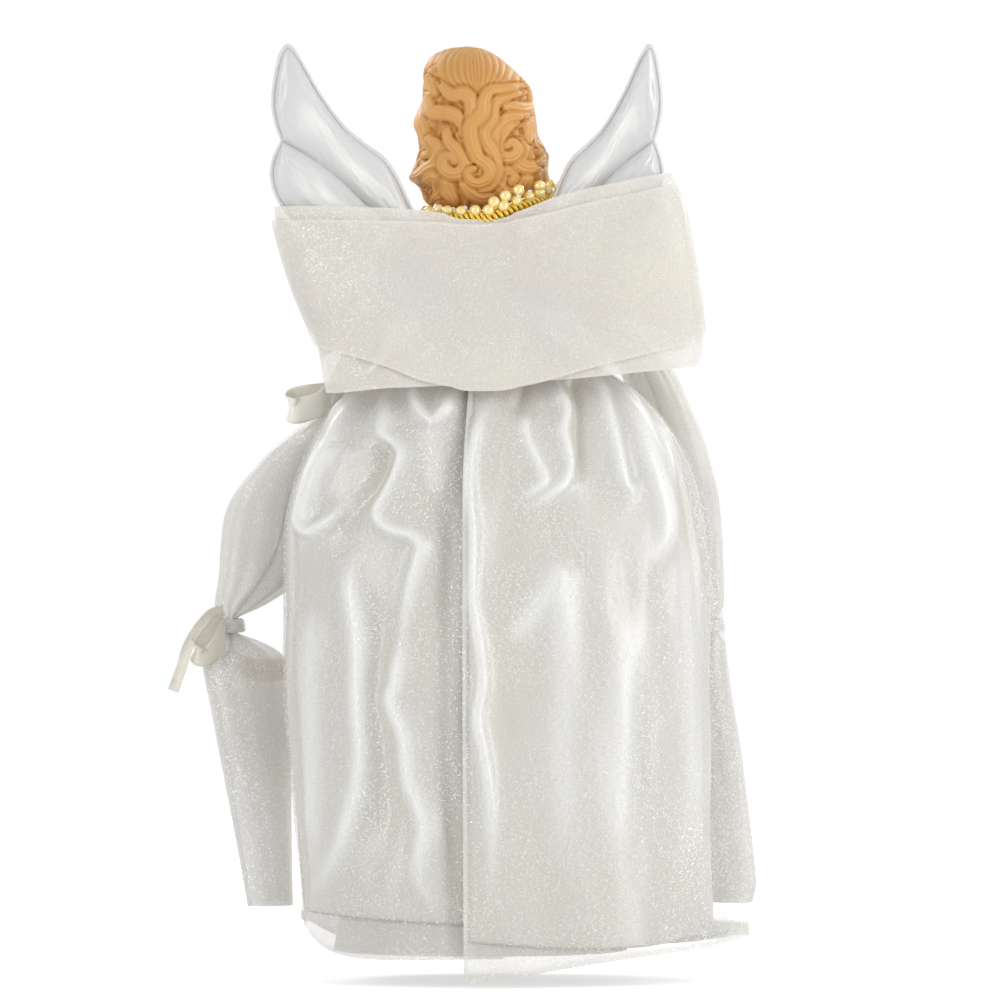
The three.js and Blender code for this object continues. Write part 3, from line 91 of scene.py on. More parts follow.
# Folds on the back of the skirt: panel, path of across and up, half width, height
FOLDS = [
    ("left", [(0.037, 0.196), (0.0435, 0.1844), (0.0474, 0.1753), (0.052, 0.166), (0.055, 0.156),
              (0.0562, 0.15), (0.053, 0.1465), (0.0468, 0.151), (0.041, 0.157),
              (0.0383, 0.163)], 0.0024, 0.0034),
    ("left", [(0.044, 0.176), (0.0455, 0.166), (0.049, 0.155)], 0.0055, 0.0006),
    ("left", [(0.0288, 0.197), (0.0301, 0.184), (0.0304, 0.1785), (0.0268, 0.1749), (0.0249, 0.172),
              (0.0271, 0.1655), (0.0304, 0.159), (0.0327, 0.154), (0.0317, 0.15), (0.0268, 0.1468),
              (0.0216, 0.1455), (0.0186, 0.142), (0.0196, 0.137), (0.0216, 0.1295), (0.0242, 0.1164),
              (0.0268, 0.0978)], 0.0022, 0.003),
    ("left", [(0.0242, 0.1164), (0.0268, 0.0978), (0.0286, 0.0916), (0.0239, 0.0804), (0.0226, 0.067),
              (0.0177, 0.052), (0.0196, 0.0366), (0.0157, 0.0262), (0.012, 0.018)], 0.0032, 0.0026),
    ("left", [(0.0325, 0.178), (0.03, 0.17), (0.034, 0.16), (0.0409, 0.1535),
              (0.05, 0.144)], 0.0026, -0.0026),
    ("left", [(0.0213, 0.196), (0.0196, 0.1877), (0.0157, 0.1831), (0.0137, 0.1838), (0.0092, 0.1893),
              (0.007, 0.196)], 0.002, 0.0026),
    ("left", [(0.0155, 0.1825), (0.015, 0.172), (0.013, 0.155)], 0.004, 0.001),
    ("left", [(0.044, 0.143), (0.0405, 0.125), (0.0389, 0.1109), (0.0389, 0.0916), (0.0379, 0.0723),
              (0.0422, 0.0507), (0.0484, 0.0366), (0.0595, 0.022)], 0.0034, 0.0024),
    ("left", [(0.031, 0.13), (0.033, 0.11), (0.0335, 0.085), (0.03, 0.06),
              (0.0305, 0.03)], 0.0036, -0.0018),
    ("left", [(0.0095, 0.165), (0.011, 0.12), (0.0115, 0.08), (0.009, 0.04),
              (0.008, 0.014)], 0.0035, -0.0014),
    ("left", [(0.053, 0.125), (0.054, 0.1), (0.0535, 0.07), (0.054, 0.03)], 0.0042, 0.0016),
    ("right", [(-0.0056, 0.196), (-0.0007, 0.1844), (0.0022, 0.1766), (0.0038, 0.1681), (0.0038, 0.1579),
               (0.0026, 0.1475), (0.0028, 0.1344), (0.0032, 0.1249), (0.0018, 0.1177), (0.0003, 0.1086),
               (-0.0007, 0.0978), (0.001, 0.0857), (-0.002, 0.0693), (-0.0033, 0.0468),
               (-0.0033, 0.016)], 0.0021, 0.0026),
    ("right", [(-0.0147, 0.1864), (-0.0144, 0.1792), (-0.0173, 0.1713), (-0.0199, 0.1655),
               (-0.0193, 0.1619), (-0.0147, 0.1579), (-0.0121, 0.154)], 0.002, 0.0022),
    ("right", [(-0.0199, 0.196), (-0.0252, 0.1906), (-0.0271, 0.1864), (-0.0262, 0.1798),
               (-0.0284, 0.1707), (-0.0278, 0.1648), (-0.0245, 0.1602), (-0.0186, 0.156),
               (-0.0121, 0.154)], 0.0021, 0.0026),
    ("right", [(-0.0345, 0.199), (-0.0366, 0.1959), (-0.0399, 0.1851), (-0.0432, 0.1733),
               (-0.0458, 0.1628), (-0.0484, 0.1599), (-0.0464, 0.1521)], 0.0021, 0.0027),
    ("right", [(-0.0405, 0.2), (-0.0464, 0.19), (-0.0504, 0.1812), (-0.0536, 0.1713), (-0.0576, 0.1602),
               (-0.0595, 0.1501), (-0.0589, 0.1409), (-0.0556, 0.1308)], 0.0033, 0.0032),
    ("right", [(-0.048, 0.2), (-0.0556, 0.1844), (-0.0605, 0.1687), (-0.0644, 0.1592)], 0.0025, 0.002),
    ("right", [(-0.0278, 0.138), (-0.0219, 0.1282), (-0.0128, 0.1151), (-0.006, 0.109)], 0.0042, 0.0015),
    ("right", [(-0.0298, 0.1985), (-0.032, 0.1851), (-0.032, 0.1779), (-0.0317, 0.16)], 0.0016, -0.0026),
    ("right", [(-0.016, 0.197), (-0.0114, 0.183)], 0.0016, -0.0022),
    ("right", [(-0.0115, 0.173), (-0.0085, 0.15), (-0.0065, 0.12), (-0.0085, 0.06)], 0.0045, -0.0014),
    ("right", [(-0.052, 0.125), (-0.047, 0.1), (-0.044, 0.07), (-0.045, 0.03)], 0.0075, 0.0012),
    ("right", [(-0.024, 0.14), (-0.027, 0.11), (-0.026, 0.075), (-0.0285, 0.03)], 0.006, 0.0011),
    ("right", [(-0.066, 0.15), (-0.0665, 0.11), (-0.069, 0.07), (-0.0715, 0.03)], 0.005, 0.0013),
]

# Across a fold: its sharp ridge on a broad foot, and the painted highlight along its crest. Along it: where
# it starts and fades
FOLD = Sizes(
    steps=5, start_shares=(0, 0.15), fade_shares=(0.7, 1), ridge_share=0.7, foot_share=0.4,
    foot_width_share=2.4, crest_width_share=0.75,
)

# Folds on the sides and the front: how many, their width and height, and the gathers at the waist
PLEATS = Sizes(
    count=26, seed=11, half=math.radians(4.2), height=0.0024, sink=0.0014, wander=math.radians(5),
    waist_share=0.7, widening_share=0.6, start_shares=(0, 0.12), fade_share=0.6, fade_from_share=0.45,
    fade_to_share=1.05, gathers=44, gather_height=0.0014, gather_reach=6.0, back_reach=3, unevenness=7,
    back_shares=(0.1, 0.55),
)

# Shawl: height, half width toward +X, half width toward -X, depth of the back
SHAWL_LEVELS = [
    (0.264, 0.067, 0.0645, 0.027),
    (0.248, 0.068, 0.0685, 0.027),
    (0.226, 0.062, 0.072, 0.0274),
    (0.207, 0.0545, 0.0736, 0.0286),
    (0.19, 0.0515, 0.07, 0.0314),
]
SHAWL = Sizes(
    squareness=7.0, outline_steps=2880, columns=420, rows=90, front=0.0162, front_wide=0.026,
    front_share=0.5, layer_gap=0.0012, ripple=0.0006, ripples=(3, 0.4), wrinkle=0.0003, seed=21,
    wrinkles=23, wrinkle_slant=1.2, wrinkle_base_share=0.6, side_shares=(0.2, 0.8),
)

# Top and bottom edges of the shawl's layers, at shares of the way round from the back
INNER_TOP = [(0, 0.2476), (0.06, 0.2508), (0.2, 0.252), (0.3, 0.25), (0.5, 0.232), (0.7, 0.252),
             (0.8, 0.2625), (0.88, 0.2588), (0.93, 0.2548), (0.965, 0.2502), (1, 0.2476)]
INNER_FOOT = [(0, 0.194), (0.1, 0.193), (0.22, 0.192), (0.3, 0.203), (0.5, 0.2205), (0.7, 0.21),
              (0.78, 0.202), (0.9, 0.1965), (1, 0.194)]
OUTER_TOP = [(0, 0.246), (0.06, 0.247), (0.2, 0.2475), (0.3, 0.246), (0.5, 0.23), (0.7, 0.248),
             (0.8, 0.2585), (0.88, 0.2545), (0.93, 0.2505), (0.965, 0.2478), (1, 0.2462)]
OUTER_FOOT = [(0, 0.1918), (0.066, 0.195), (0.112, 0.2), (0.2, 0.207), (0.3, 0.212), (0.5, 0.222),
              (0.7, 0.214), (0.8, 0.209), (0.89, 0.2008), (0.955, 0.194), (1, 0.1918)]

# Wings: outline of the one toward +X, across and up, in an upper and a lower run from notch to root
WING_UPPER = [
    (0.0646, 0.2738), (0.0666, 0.2793), (0.0676, 0.286), (0.0668, 0.294), (0.065, 0.302), (0.0623, 0.3046),
    (0.0588, 0.3008), (0.0523, 0.2894), (0.0443, 0.2784), (0.0368, 0.272), (0.0312, 0.2678),
    (0.0268, 0.2613), (0.0222, 0.2515), (0.0176, 0.244), (0.014, 0.236),
]
WING_LOWER = [
    (0.0646, 0.2738), (0.0672, 0.2678), (0.068, 0.2619), (0.066, 0.2547), (0.0605, 0.2474), (0.053, 0.241),
    (0.042, 0.2355), (0.029, 0.2315), (0.0195, 0.2308), (0.014, 0.236),
]
WING_STITCH = [
    (0.0646, 0.2738), (0.0523, 0.2662), (0.0425, 0.2584), (0.0334, 0.2494), (0.022, 0.2406), (0.014, 0.236),
]
WING = Sizes(
    depth=0.016, wire=0.0007, inset=0.0009, edge=0.0005, crown=0.0029, dome_power=0.62, full_width=0.011,
    steps=150, across=36, right_share=0.8, right_shift=0.00506, stitches=17, stitch_points=7,
    thread=0.00016, pucker=0.00006, puckers=90, pucker_slant=5, pucker_reach=7, uneven_share=0.05,
    # Then the painted highlight in a band along each lobe and the painted shade beside the stitched line
    seeds=(3, 8), luster_share=0.42, luster_width_share=0.2, luster_base_share=0.85,
    luster_wave_share=0.25, shade_width_share=0.2, notch_shares=(0.1, 0.35), root_shares=(0.9, 1),
)

# Head: height, half width toward +X, half width toward -X, depth of the back, depth of the face
HEAD_LEVELS = [
    (0.2515, 0.015, 0.0155, 0.0132, 0.008),
    (0.254, 0.0174, 0.0193, 0.0158, 0.011),
    (0.258, 0.0188, 0.021, 0.0174, 0.015),
    (0.262, 0.0226, 0.0219, 0.0186, 0.0158),
    (0.266, 0.0208, 0.0216, 0.0194, 0.0164),
    (0.2704, 0.0196, 0.0214, 0.02, 0.0168),
    (0.275, 0.0196, 0.0186, 0.0206, 0.017),
    (0.2796, 0.021, 0.0178, 0.021, 0.017),
    (0.287, 0.0188, 0.0168, 0.0208, 0.0168),
    (0.292, 0.0182, 0.0158, 0.0194, 0.016),
    (0.297, 0.0162, 0.013, 0.0166, 0.0136),
    (0.3015, 0.012, 0.0094, 0.0114, 0.0096),
    (0.304, 0.0068, 0.0052, 0.006, 0.0056),
    (0.3049, 0.002, 0.002, 0.002, 0.002),
]
HEAD = Sizes(
    low=0.2515, top=0.3049, lean=0.0043, lean_from=0.29, columns=400, rows=300, sink=0.0011,
    top_fade=(0.0015, 0.004), back_shares=(-0.05, 0.3), side_shares=(0.55, 0.85), front_shares=(0.1, 0.4),
)

# Locks: height of the hair between them, of a lock over it and of the parting beside it, and their strands
LOCK = Sizes(
    ground=0.0011, height=0.0008, parting=0.00055, parting_at_share=1.2, parting_width_share=0.28,
    strands=3.0, groove=0.00032, steps=6, width_share=1.3, tip_share=0.3, taper_shares=(0.06, 0.86),
    taper_power=0.8, dome_share=0.86, groove_share=0.9, rounding_share=0.35, start_shares=(0, 0.08),
    edge_shares=(0.95, 1.2),
)

# Combed hair between the locks: height of its grooves, their spacing, and the wave that they follow
COMBED = Sizes(
    height=0.0003, back=Sizes(spacing=0.0026, sway=0.0018, wave=0.014, slant=0.005),
    sides=Sizes(spacing=0.0024, sway=0.0014, wave=0.012), hidden_share=0.8, hidden_across=0.012,
    shade_heights=(0.0004, 0.00175),
)

# Moulded locks on the back, each a path of across and up, then half the lock's width
BACK_LOCKS = [
    ([(0.0194, 0.290), (0.0196, 0.2809), (0.0185, 0.2782), (0.0176, 0.2754), (0.0148, 0.2722),
      (0.0153, 0.2695), (0.0171, 0.269)], 0.0019),
    ([(0.0155, 0.2745), (0.0125, 0.2708), (0.0134, 0.2663), (0.0166, 0.264), (0.0189, 0.2621),
      (0.0225, 0.2617)], 0.002),
    ([(-0.015, 0.2845), (-0.0155, 0.2773), (-0.015, 0.2736)], 0.0016),
    ([(-0.0178, 0.285), (-0.0184, 0.2773), (-0.018, 0.2726)], 0.0015),
    ([(0.0175, 0.2598), (0.0153, 0.2617), (0.013, 0.2607), (0.0125, 0.2571), (0.0143, 0.2545)], 0.0017),
    ([(0.0107, 0.2625), (0.0098, 0.2571), (0.0075, 0.2534)], 0.0018),
    ([(0.0061, 0.2617), (0.0033, 0.2575), (-0.0003, 0.2548), (-0.004, 0.2557)], 0.0018),
    ([(-0.0169, 0.266), (-0.0166, 0.2565)], 0.0013),
    ([(-0.0191, 0.267), (-0.0191, 0.2575)], 0.0013),
    ([(-0.0214, 0.267), (-0.0208, 0.2585)], 0.0013),
    ([(0.007, 0.2764), (0.0043, 0.2722), (0.0033, 0.2681), (0.0043, 0.2644)], 0.0017),
    ([(0.0107, 0.2782), (0.0098, 0.2736), (0.007, 0.2699), (0.0052, 0.2667), (0.0056, 0.2635),
      (0.0084, 0.2626), (0.0111, 0.2644), (0.0111, 0.2676), (0.0088, 0.2685), (0.0077, 0.2667)], 0.0018),
    ([(-0.0136, 0.2663), (-0.0146, 0.2617), (-0.0123, 0.2575), (-0.0086, 0.2566), (-0.0063, 0.2589),
      (-0.0063, 0.2626), (-0.0086, 0.264), (-0.0107, 0.2621), (-0.0097, 0.2598)], 0.0019),
    ([(-0.0123, 0.2736), (-0.0132, 0.2704), (-0.0118, 0.2676), (-0.0132, 0.2653), (-0.0159, 0.2649),
      (-0.0185, 0.2663)], 0.0019),
    ([(-0.0185, 0.2736), (-0.0214, 0.2726), (-0.0222, 0.2699), (-0.0206, 0.2676),
      (-0.0185, 0.2667)], 0.0017),
    ([(-0.0068, 0.2866), (-0.0095, 0.2843), (-0.0132, 0.2835), (-0.0168, 0.2852)], 0.002),
    ([(-0.0123, 0.2809), (-0.0081, 0.2779), (-0.0064, 0.2741), (-0.007, 0.2713)], 0.0016),
    ([(-0.0145, 0.2818), (-0.0086, 0.2809), (-0.0054, 0.2782), (-0.0038, 0.2745), (-0.0045, 0.2704),
      (-0.0072, 0.2681), (-0.0104, 0.2685), (-0.0116, 0.2708), (-0.01, 0.2731),
      (-0.0084, 0.2718)], 0.0017),
    ([(0.016, 0.2945), (0.0148, 0.2905), (0.016, 0.288)], 0.0018),
    ([(0.0166, 0.2887), (0.0157, 0.2846), (0.0143, 0.2828), (0.0098, 0.2823), (0.007, 0.2809),
      (0.0052, 0.2782), (0.0052, 0.2755)], 0.0019),
    ([(0.0125, 0.2925), (0.0088, 0.2883), (0.0052, 0.2887), (0.0028, 0.286), (0.003, 0.2819),
      (0.004, 0.2792)], 0.0018),
    ([(-0.0136, 0.2896), (-0.0086, 0.2880), (-0.0054, 0.2866), (-0.0042, 0.2837), (-0.0037, 0.2805),
      (-0.0015, 0.2773), (-0.0013, 0.2736), (-0.0035, 0.2699), (-0.0049, 0.2663), (-0.0054, 0.2626),
      (-0.0035, 0.2585), (-0.0003, 0.2575)], 0.0016),
    ([(-0.0138, 0.2918), (-0.0077, 0.2906), (-0.0031, 0.2897), (-0.0013, 0.2864), (-0.0010, 0.2828),
      (0.001, 0.28), (0.0029, 0.2782), (0.0029, 0.2745), (0.002, 0.2708), (0.0006, 0.2676),
      (-0.0017, 0.2658), (-0.0031, 0.2635), (-0.0022, 0.2607), (0.0006, 0.2594), (0.0033, 0.2607),
      (0.0038, 0.263), (0.0022, 0.2642)], 0.0017),
]

# Crown: its strands run in arcs between two places, and fade out round its middle
CROWN = Sizes(
    high=(0.0025, 0.3055), low=(0.0008, 0.2885), strands=21.0, groove=0.0004, sway=0.7,
    middle=(0.0015, 0.297), half_across=0.0125, half_up=0.0085, edge_shares=(0.6, 1.6),
)

# Locks on each side, each a path of toward the back and up
SIDE_LOCKS = [
    ([(0.009, 0.297), (0.003, 0.291), (0.005, 0.283), (0.011, 0.279), (0.014, 0.284)], 0.0022),
    ([(-0.004, 0.298), (-0.007, 0.29), (-0.002, 0.284), (0.001, 0.277), (-0.003, 0.272),
      (-0.007, 0.275)], 0.0023),
    ([(-0.009, 0.296), (-0.0125, 0.288), (-0.011, 0.28), (-0.0085, 0.273), (-0.0105, 0.266),
      (-0.013, 0.262)], 0.0022),
    ([(0.004, 0.276), (0.006, 0.27), (0.003, 0.265), (-0.001, 0.267), (0.001, 0.27)], 0.002),
    ([(0.012, 0.276), (0.0135, 0.269), (0.01, 0.264), (0.0065, 0.2665)], 0.002),
    ([(-0.006, 0.27), (-0.0085, 0.263), (-0.005, 0.258), (-0.001, 0.26), (-0.003, 0.264)], 0.0021),
    ([(0.003, 0.262), (0.001, 0.256), (0.005, 0.253)], 0.0019),
    ([(0.01, 0.262), (0.0115, 0.256), (0.008, 0.2535)], 0.0019),
]

# Locks that frame the face, on both sides of it, each a path of outward and up
FRONT_LOCKS = [
    ([(0.0005, 0.3), (0.006, 0.2965), (0.0115, 0.291), (0.0155, 0.283), (0.016, 0.275),
      (0.0185, 0.268)], 0.0022),
    ([(0.0005, 0.296), (0.006, 0.2925), (0.0105, 0.2865), (0.0132, 0.279), (0.0128, 0.271),
      (0.0152, 0.2645), (0.014, 0.259)], 0.002),
    ([(0.0005, 0.2915), (0.0045, 0.2895), (0.0085, 0.285), (0.0112, 0.2795), (0.0118, 0.274)], 0.0016),
]

# Face: its oval, and how far it reaches to the sides
FACE = Sizes(
    across=0.001, up=0.2715, half_across=0.0114, half_up=0.0163, set_back=0.0012, edge_share=0.25,
    reach=0.0195, line_steps=25, line_end_share=0.04,
)

# Bumps on its middle, then those that both sides have: across, up, half across, half up and height
MIDDLE_BUMPS = [
    (0, 0.2735, 0.0011, 0.0034, 0.0013),
    (0, 0.2692, 0.0014, 0.0014, 0.0019),
    (0, 0.263, 0.0019, 0.0007, 0.0009),
    (0, 0.26385, 0.0027, 0.00022, -0.0006),
    (0, 0.2615, 0.0024, 0.0006, -0.0004),
    (0, 0.2588, 0.0034, 0.0022, 0.0017),
]
SIDE_BUMPS = [
    (0.0014, 0.2686, 0.0009, 0.0008, 0.0008),
    (0.0011, 0.26455, 0.0014, 0.00055, 0.0007),
    (0.0062, 0.2672, 0.0036, 0.0034, 0.0009),
    (0.005, 0.2748, 0.0033, 0.0021, -0.0012),
    (0.005, 0.2744, 0.0021, 0.0013, 0.0011),
    (0.0047, 0.2786, 0.0036, 0.0009, 0.0004),
]

# Lines of the face: middle across and up, half width, rise of the arc, drop outward, half thickness
FACE_LINES = [
    ("brow", 0.0049, 0.2785, 0.0029, 0.0009, 0.0004, 0.00028),
    ("lash", 0.005, 0.2735, 0.0022, -0.0008, 0.0, 0.00018),
]

# Painted patches of the face: height, half width or place across, half height
BLUSH = Sizes(up=0.2672, across=0.0064, half_across=0.003, half_up=0.0028, share=0.55)
LIPS = Sizes(up=0.2638, half_across=0.0027, half_up=0.0012)

# Neckline ring: its size, its pearls, and the second row on one side as bearings in degrees and rise
NECK = Sizes(
    across=-0.003, half_width=0.0217, back=0.0239, front=0.0134, height=0.2506, side_rise=0.0036,
    front_drop=0.0035, pearls=29, pearl=0.00195, jitter=0.0004, seed=5, string=0.0003,
    second_row_out=0.0004, second_row_axis=(1, 0.2, 0.1), braid=0.0011, braid_tall_share=1.3, braid_steps=360,
    braid_drop=0.0024, braid_in=0.0004, cords=3, strand=0.0007, twists=26,
)
SECOND_ROW = [(-14, 0.0029), (-26, 0.0034), (-49, 0.0026), (-4, 0.0022), (-66, 0.002)]

# Clear discs among the pearls, and how a pearl is rounded toward its hole
SPANGLES = Sizes(
    count=34, radius=0.0009, rise=0.0012, jitter=0.001, uneven_share=0.3, tilt=0.5,
    stations=(-0.0001, -0.00008, 0.00008, 0.0001), rim_shares=(0.9, 1, 1, 0.9), up=(0.1, 0.2, 1),
)
BEAD = Sizes(open_share=0.97, rows=15, sides=20, depth_share=0.6, hole_share=0.25, side=(0.3, 0.2, 1))

# Sleeves: height, middle across and deep, half length along the flank and half thickness
SLEEVES = {
    "left": [
        (0.221, 0.0335, -0.0045, 0.0023, 0.0023), (0.2192, 0.034, -0.0052, 0.0044, 0.004),
        (0.216, 0.035, -0.0065, 0.006, 0.0054), (0.205, 0.039, -0.011, 0.0066, 0.006),
        (0.194, 0.045, -0.017, 0.006, 0.0054), (0.186, 0.0485, -0.0195, 0.005, 0.0046),
        (0.18, 0.051, -0.02, 0.011, 0.0074), (0.172, 0.057, -0.0235, 0.016, 0.009),
        (0.157, 0.064, -0.028, 0.0215, 0.01), (0.142, 0.067, -0.028, 0.022, 0.01),
        (0.13, 0.0726, -0.024, 0.0165, 0.009), (0.122, 0.079, -0.019, 0.0094, 0.0065),
        (0.12, 0.0806, -0.017, 0.006, 0.005), (0.1178, 0.082, -0.015, 0.0022, 0.0022),
        (0.1158, 0.082, -0.015, 0.0022, 0.0022),
    ],
    "right": [
        (0.221, -0.0335, -0.0045, 0.0023, 0.0023), (0.2192, -0.0344, -0.0056, 0.0044, 0.004),
        (0.217, -0.0365, -0.0075, 0.0054, 0.005), (0.21, -0.045, -0.0145, 0.008, 0.006),
        (0.2, -0.054, -0.022, 0.01, 0.007), (0.186, -0.0596, -0.029, 0.012, 0.0074),
        (0.172, -0.061, -0.0335, 0.017, 0.009), (0.157, -0.0608, -0.0365, 0.022, 0.0096),
        (0.142, -0.062, -0.0374, 0.022, 0.0098), (0.13, -0.067, -0.0354, 0.016, 0.009),
        (0.122, -0.072, -0.0314, 0.0094, 0.0065), (0.12, -0.074, -0.029, 0.006, 0.005),
        (0.1178, -0.076, -0.027, 0.0022, 0.0022), (0.1158, -0.076, -0.027, 0.0022, 0.0022),
    ],
}
CUFFS = {
    "left": [
        (0.1149, 0.082, -0.015, 0.0021, 0.0021), (0.113, 0.082, -0.015, 0.0021, 0.0021),
        (0.1105, 0.0808, -0.0154, 0.0088, 0.0046), (0.107, 0.0791, -0.016, 0.0154, 0.006),
        (0.103, 0.0773, -0.0168, 0.0174, 0.0066), (0.09, 0.0758, -0.0175, 0.0158, 0.0066),
        (0.058, 0.0725, -0.02, 0.0123, 0.0062), (0.027, 0.0695, -0.022, 0.0088, 0.0056),
        (0.023, 0.0691, -0.0222, 0.0084, 0.0056),
    ],
    "right": [
        (0.1149, -0.076, -0.027, 0.0022, 0.0022), (0.113, -0.076, -0.027, 0.0022, 0.0022),
        (0.1105, -0.075, -0.028, 0.006, 0.0046), (0.107, -0.073, -0.0294, 0.009, 0.006),
        (0.094, -0.074, -0.031, 0.0098, 0.0056), (0.071, -0.078, -0.033, 0.0098, 0.0056),
        (0.031, -0.083, -0.0344, 0.0096, 0.0054), (0.0236, -0.0826, -0.0346, 0.0084, 0.0054),
    ],
}

# Cloth of the sleeves: the slant of their section, their seam and gathers
SLEEVE = Sizes(
    along_across=0.8, along_deep=0.6, columns=160, rows=120, seam_at=math.radians(250),
    seam_lap=math.radians(14), seam_share=0.03, gathers=13, gather_depth_share=0.11, gather_low_share=0.1,
    soft_depth_share=0.05, even_share=0.6, seed=13,
)

# Cloth of the cuffs: their opening and gathers
CUFF = Sizes(
    columns=110, rows=90, gathers=9, gather_depth_share=0.1, gather_low_share=0.15, gather_reach=9,
    soft_depth_share=0.03, opening=math.radians(150), open_to=math.radians(135),
    flat={"left": 0.042, "right": 0.034}, seed=17,
)

# Forearms: path from elbow to fingertips, half height and half width on the way
FOREARMS = {
    "left": [(0.082, -0.0126, 0.1049), (0.081, -0.0237, 0.1033), (0.075, -0.038, 0.1005),
             (0.066, -0.05, 0.1005), (0.054, -0.059, 0.107), (0.043, -0.0645, 0.122),
             (0.034, -0.0675, 0.137), (0.0305, -0.0685, 0.142)],
    "right": [(-0.0754, -0.029, 0.1036), (-0.072, -0.034, 0.1046), (-0.061, -0.047, 0.113),
              (-0.047, -0.058, 0.126), (-0.035, -0.066, 0.137), (-0.03, -0.0684, 0.142)],
}

# Half heights and half widths at even shares of the way, and how the skin is made one
FOREARM = Sizes(
    tall=[0.0028, 0.0036, 0.0038, 0.0033, 0.0025, 0.0033],
    wide=[0.0028, 0.0036, 0.0038, 0.0033, 0.0023, 0.002], stations=40, sides=24, voxel=0.0004, relax=0.5,
    relax_rounds=4,
)
HAND = Sizes(
    stations=12, palm=0.0085, palm_half=0.0034, palm_thick=0.0017, palm_sides=20, wrist_share=0.3,
    knuckle_share=0.86, finger=0.0075, finger_shares=(0.86, 1.0, 0.95, 0.76), finger_half=0.00085,
    finger_gap=0.00165, finger_spread=0.12, finger_base_share=1.1, bend=0.0012, thumb=0.0055,
    thumb_half=0.00095, thumb_base_share=1.15, thumb_along_share=0.25, thumb_out_share=0.8,
    thumb_spread=0.75, taper_share=0.25, sides=12, swell_shares=(0.15, 0.8), tip_share=0.98, tip_power=6,
    least_tip_share=0.05,
)

# Ribbon ties at the elbows, and the bow at the top of one sleeve
TIE = Sizes(
    height=0.1154, ring=0.0037, tube=0.0011, wraps=3, wrap_steps=60, rise=0.0034, wobble_share=0.06,
    wobbles=2.3,
)
ELBOW_LOOP = [(0.0844, -0.009, 0.1165), (0.088, -0.0061, 0.1145), (0.0924, -0.0034, 0.11),
              (0.092, -0.0018, 0.1056), (0.088, -0.003, 0.1065), (0.0846, -0.0061, 0.1126)]
ELBOW_TAIL = [(0.084, -0.0076, 0.1204), (0.089, -0.003, 0.1186), (0.095, -0.0006, 0.11),
              (0.098, -0.0006, 0.101), (0.1004, -0.0006, 0.0942)]
UPPER_LOOP = [(0.05, -0.0122, 0.1914), (0.055, -0.0098, 0.1908), (0.0604, -0.0082, 0.1894),
              (0.062, -0.0066, 0.1874), (0.06, -0.0052, 0.1858), (0.053, -0.0074, 0.188),
              (0.05, -0.0098, 0.1908)]
UPPER_TIE = Sizes(height=0.186, along=0.0068, thick=0.0064, tube=0.0009, tall=0.00126, wave=0.0006,
                  steps=120)
RIBBON = Sizes(
    loop=0.0064, tail=0.0034, upper=0.0074, upper_flare_share=0.15, thick=0.00018, cup=0.0006, creases=3,
    columns=9, steps=90,
)

# Shoulder plate and neck, bodice and waistband: height, half width, half depth
PLATE_LEVELS = [
    (0.231, 0.0214, 0.0136), (0.236, 0.0212, 0.0134), (0.2405, 0.019, 0.0124), (0.2445, 0.0145, 0.0106),
    (0.2475, 0.0095, 0.0086), (0.25, 0.0074, 0.0074), (0.258, 0.007, 0.007),
]
TORSO_LEVELS = [
    (0.1903, 0.014, 0.0105), (0.201, 0.0155, 0.011), (0.212, 0.017, 0.0115), (0.225, 0.0195, 0.012),
    (0.234, 0.0195, 0.0118),
]

# Grids of the plate and of the bands on the torso, and the raised collar of the plate
PLATE = Sizes(rows=60, columns=120, collar=0.0005, collar_height=0.2425, collar_width=0.0014)
TORSO = Sizes(rows=40, columns=220)
BODICE = Sizes(low=0.199, high=0.2238, out=0.0008, pleats=34, pleat=0.00028)
BAND = Sizes(low=0.2122, high=0.219, out=0.0021, pleats=3, pleat=0.0003)

# Floor that keeps the figure's shadow, and the white room round it
STAGE = Sizes(floor=8.0, under=0.0004, floor_color=0.8, floor_lift=0.62, ambient=0.5)

# Lamps: place, width, height and watts
LAMPS = [
    ("lamp_left", (1.2, 0.95, 0.55), 0.28, 1.3, 7.0),
    ("lamp_right", (-1.35, 0.8, 0.5), 0.28, 1.3, 11.5),
    ("lamp_front_left", (0.9, -1.3, 1.1), 0.7, 0.7, 8.5),
    ("lamp_front_right", (-0.9, -1.2, 0.9), 0.7, 0.7, 6.0),
]

# Satin: sizes of its threads, slubs and drift of colour, and how far they are drawn out upward; also the tint
# of its painted shade
SATIN_GRAIN = Sizes(
    thread=0.00022, thread_stretch=(1, 1, 0.12), slub=0.004, slub_stretch=(1, 1, 0.3), drift=0.03,
    drift_share=0.95, shade_shares=(0.95, 0.92, 0.84), smoother=0.03, rougher=0.04, relief=0.00002,
    relief_share=0.25, sheen_roughness=0.35,
)

# Organza: its weave, its slow changes of cover and tone, and the flakes on it
ORGANZA = Sizes(
    roughness=0.5, sheen=0.3, sheen_roughness=0.4, specular=0.6, thread=0.00035,
    thread_stretch=(1, 1, 0.4), thread_cover=0.12, drift=0.02, drift_stretch=(1, 1, 0.5),
    drift_cover=0.05, hem_cover=0.85, tone=0.035, tone_shares=(-0.5, 1.5),
    cool_shares=(0.96, 0.945, 0.955), warm_shares=(1.035, 1.02, 0.955), flake=0.00032,
    flake_color=(1, 1, 0.99, 1), flake_tilt=0.55, flake_roughness=0.32, flake_metallic=0.15,
    flake_cover=0.7, crowd=0.018, sparse_share=0.9, crowded_share=2.9,
)
# Colour of the painted highlight on the crests of folds and wing lobes
PAINTED_HIGHLIGHT_COLOR = (0.98, 0.98, 0.96, 1)

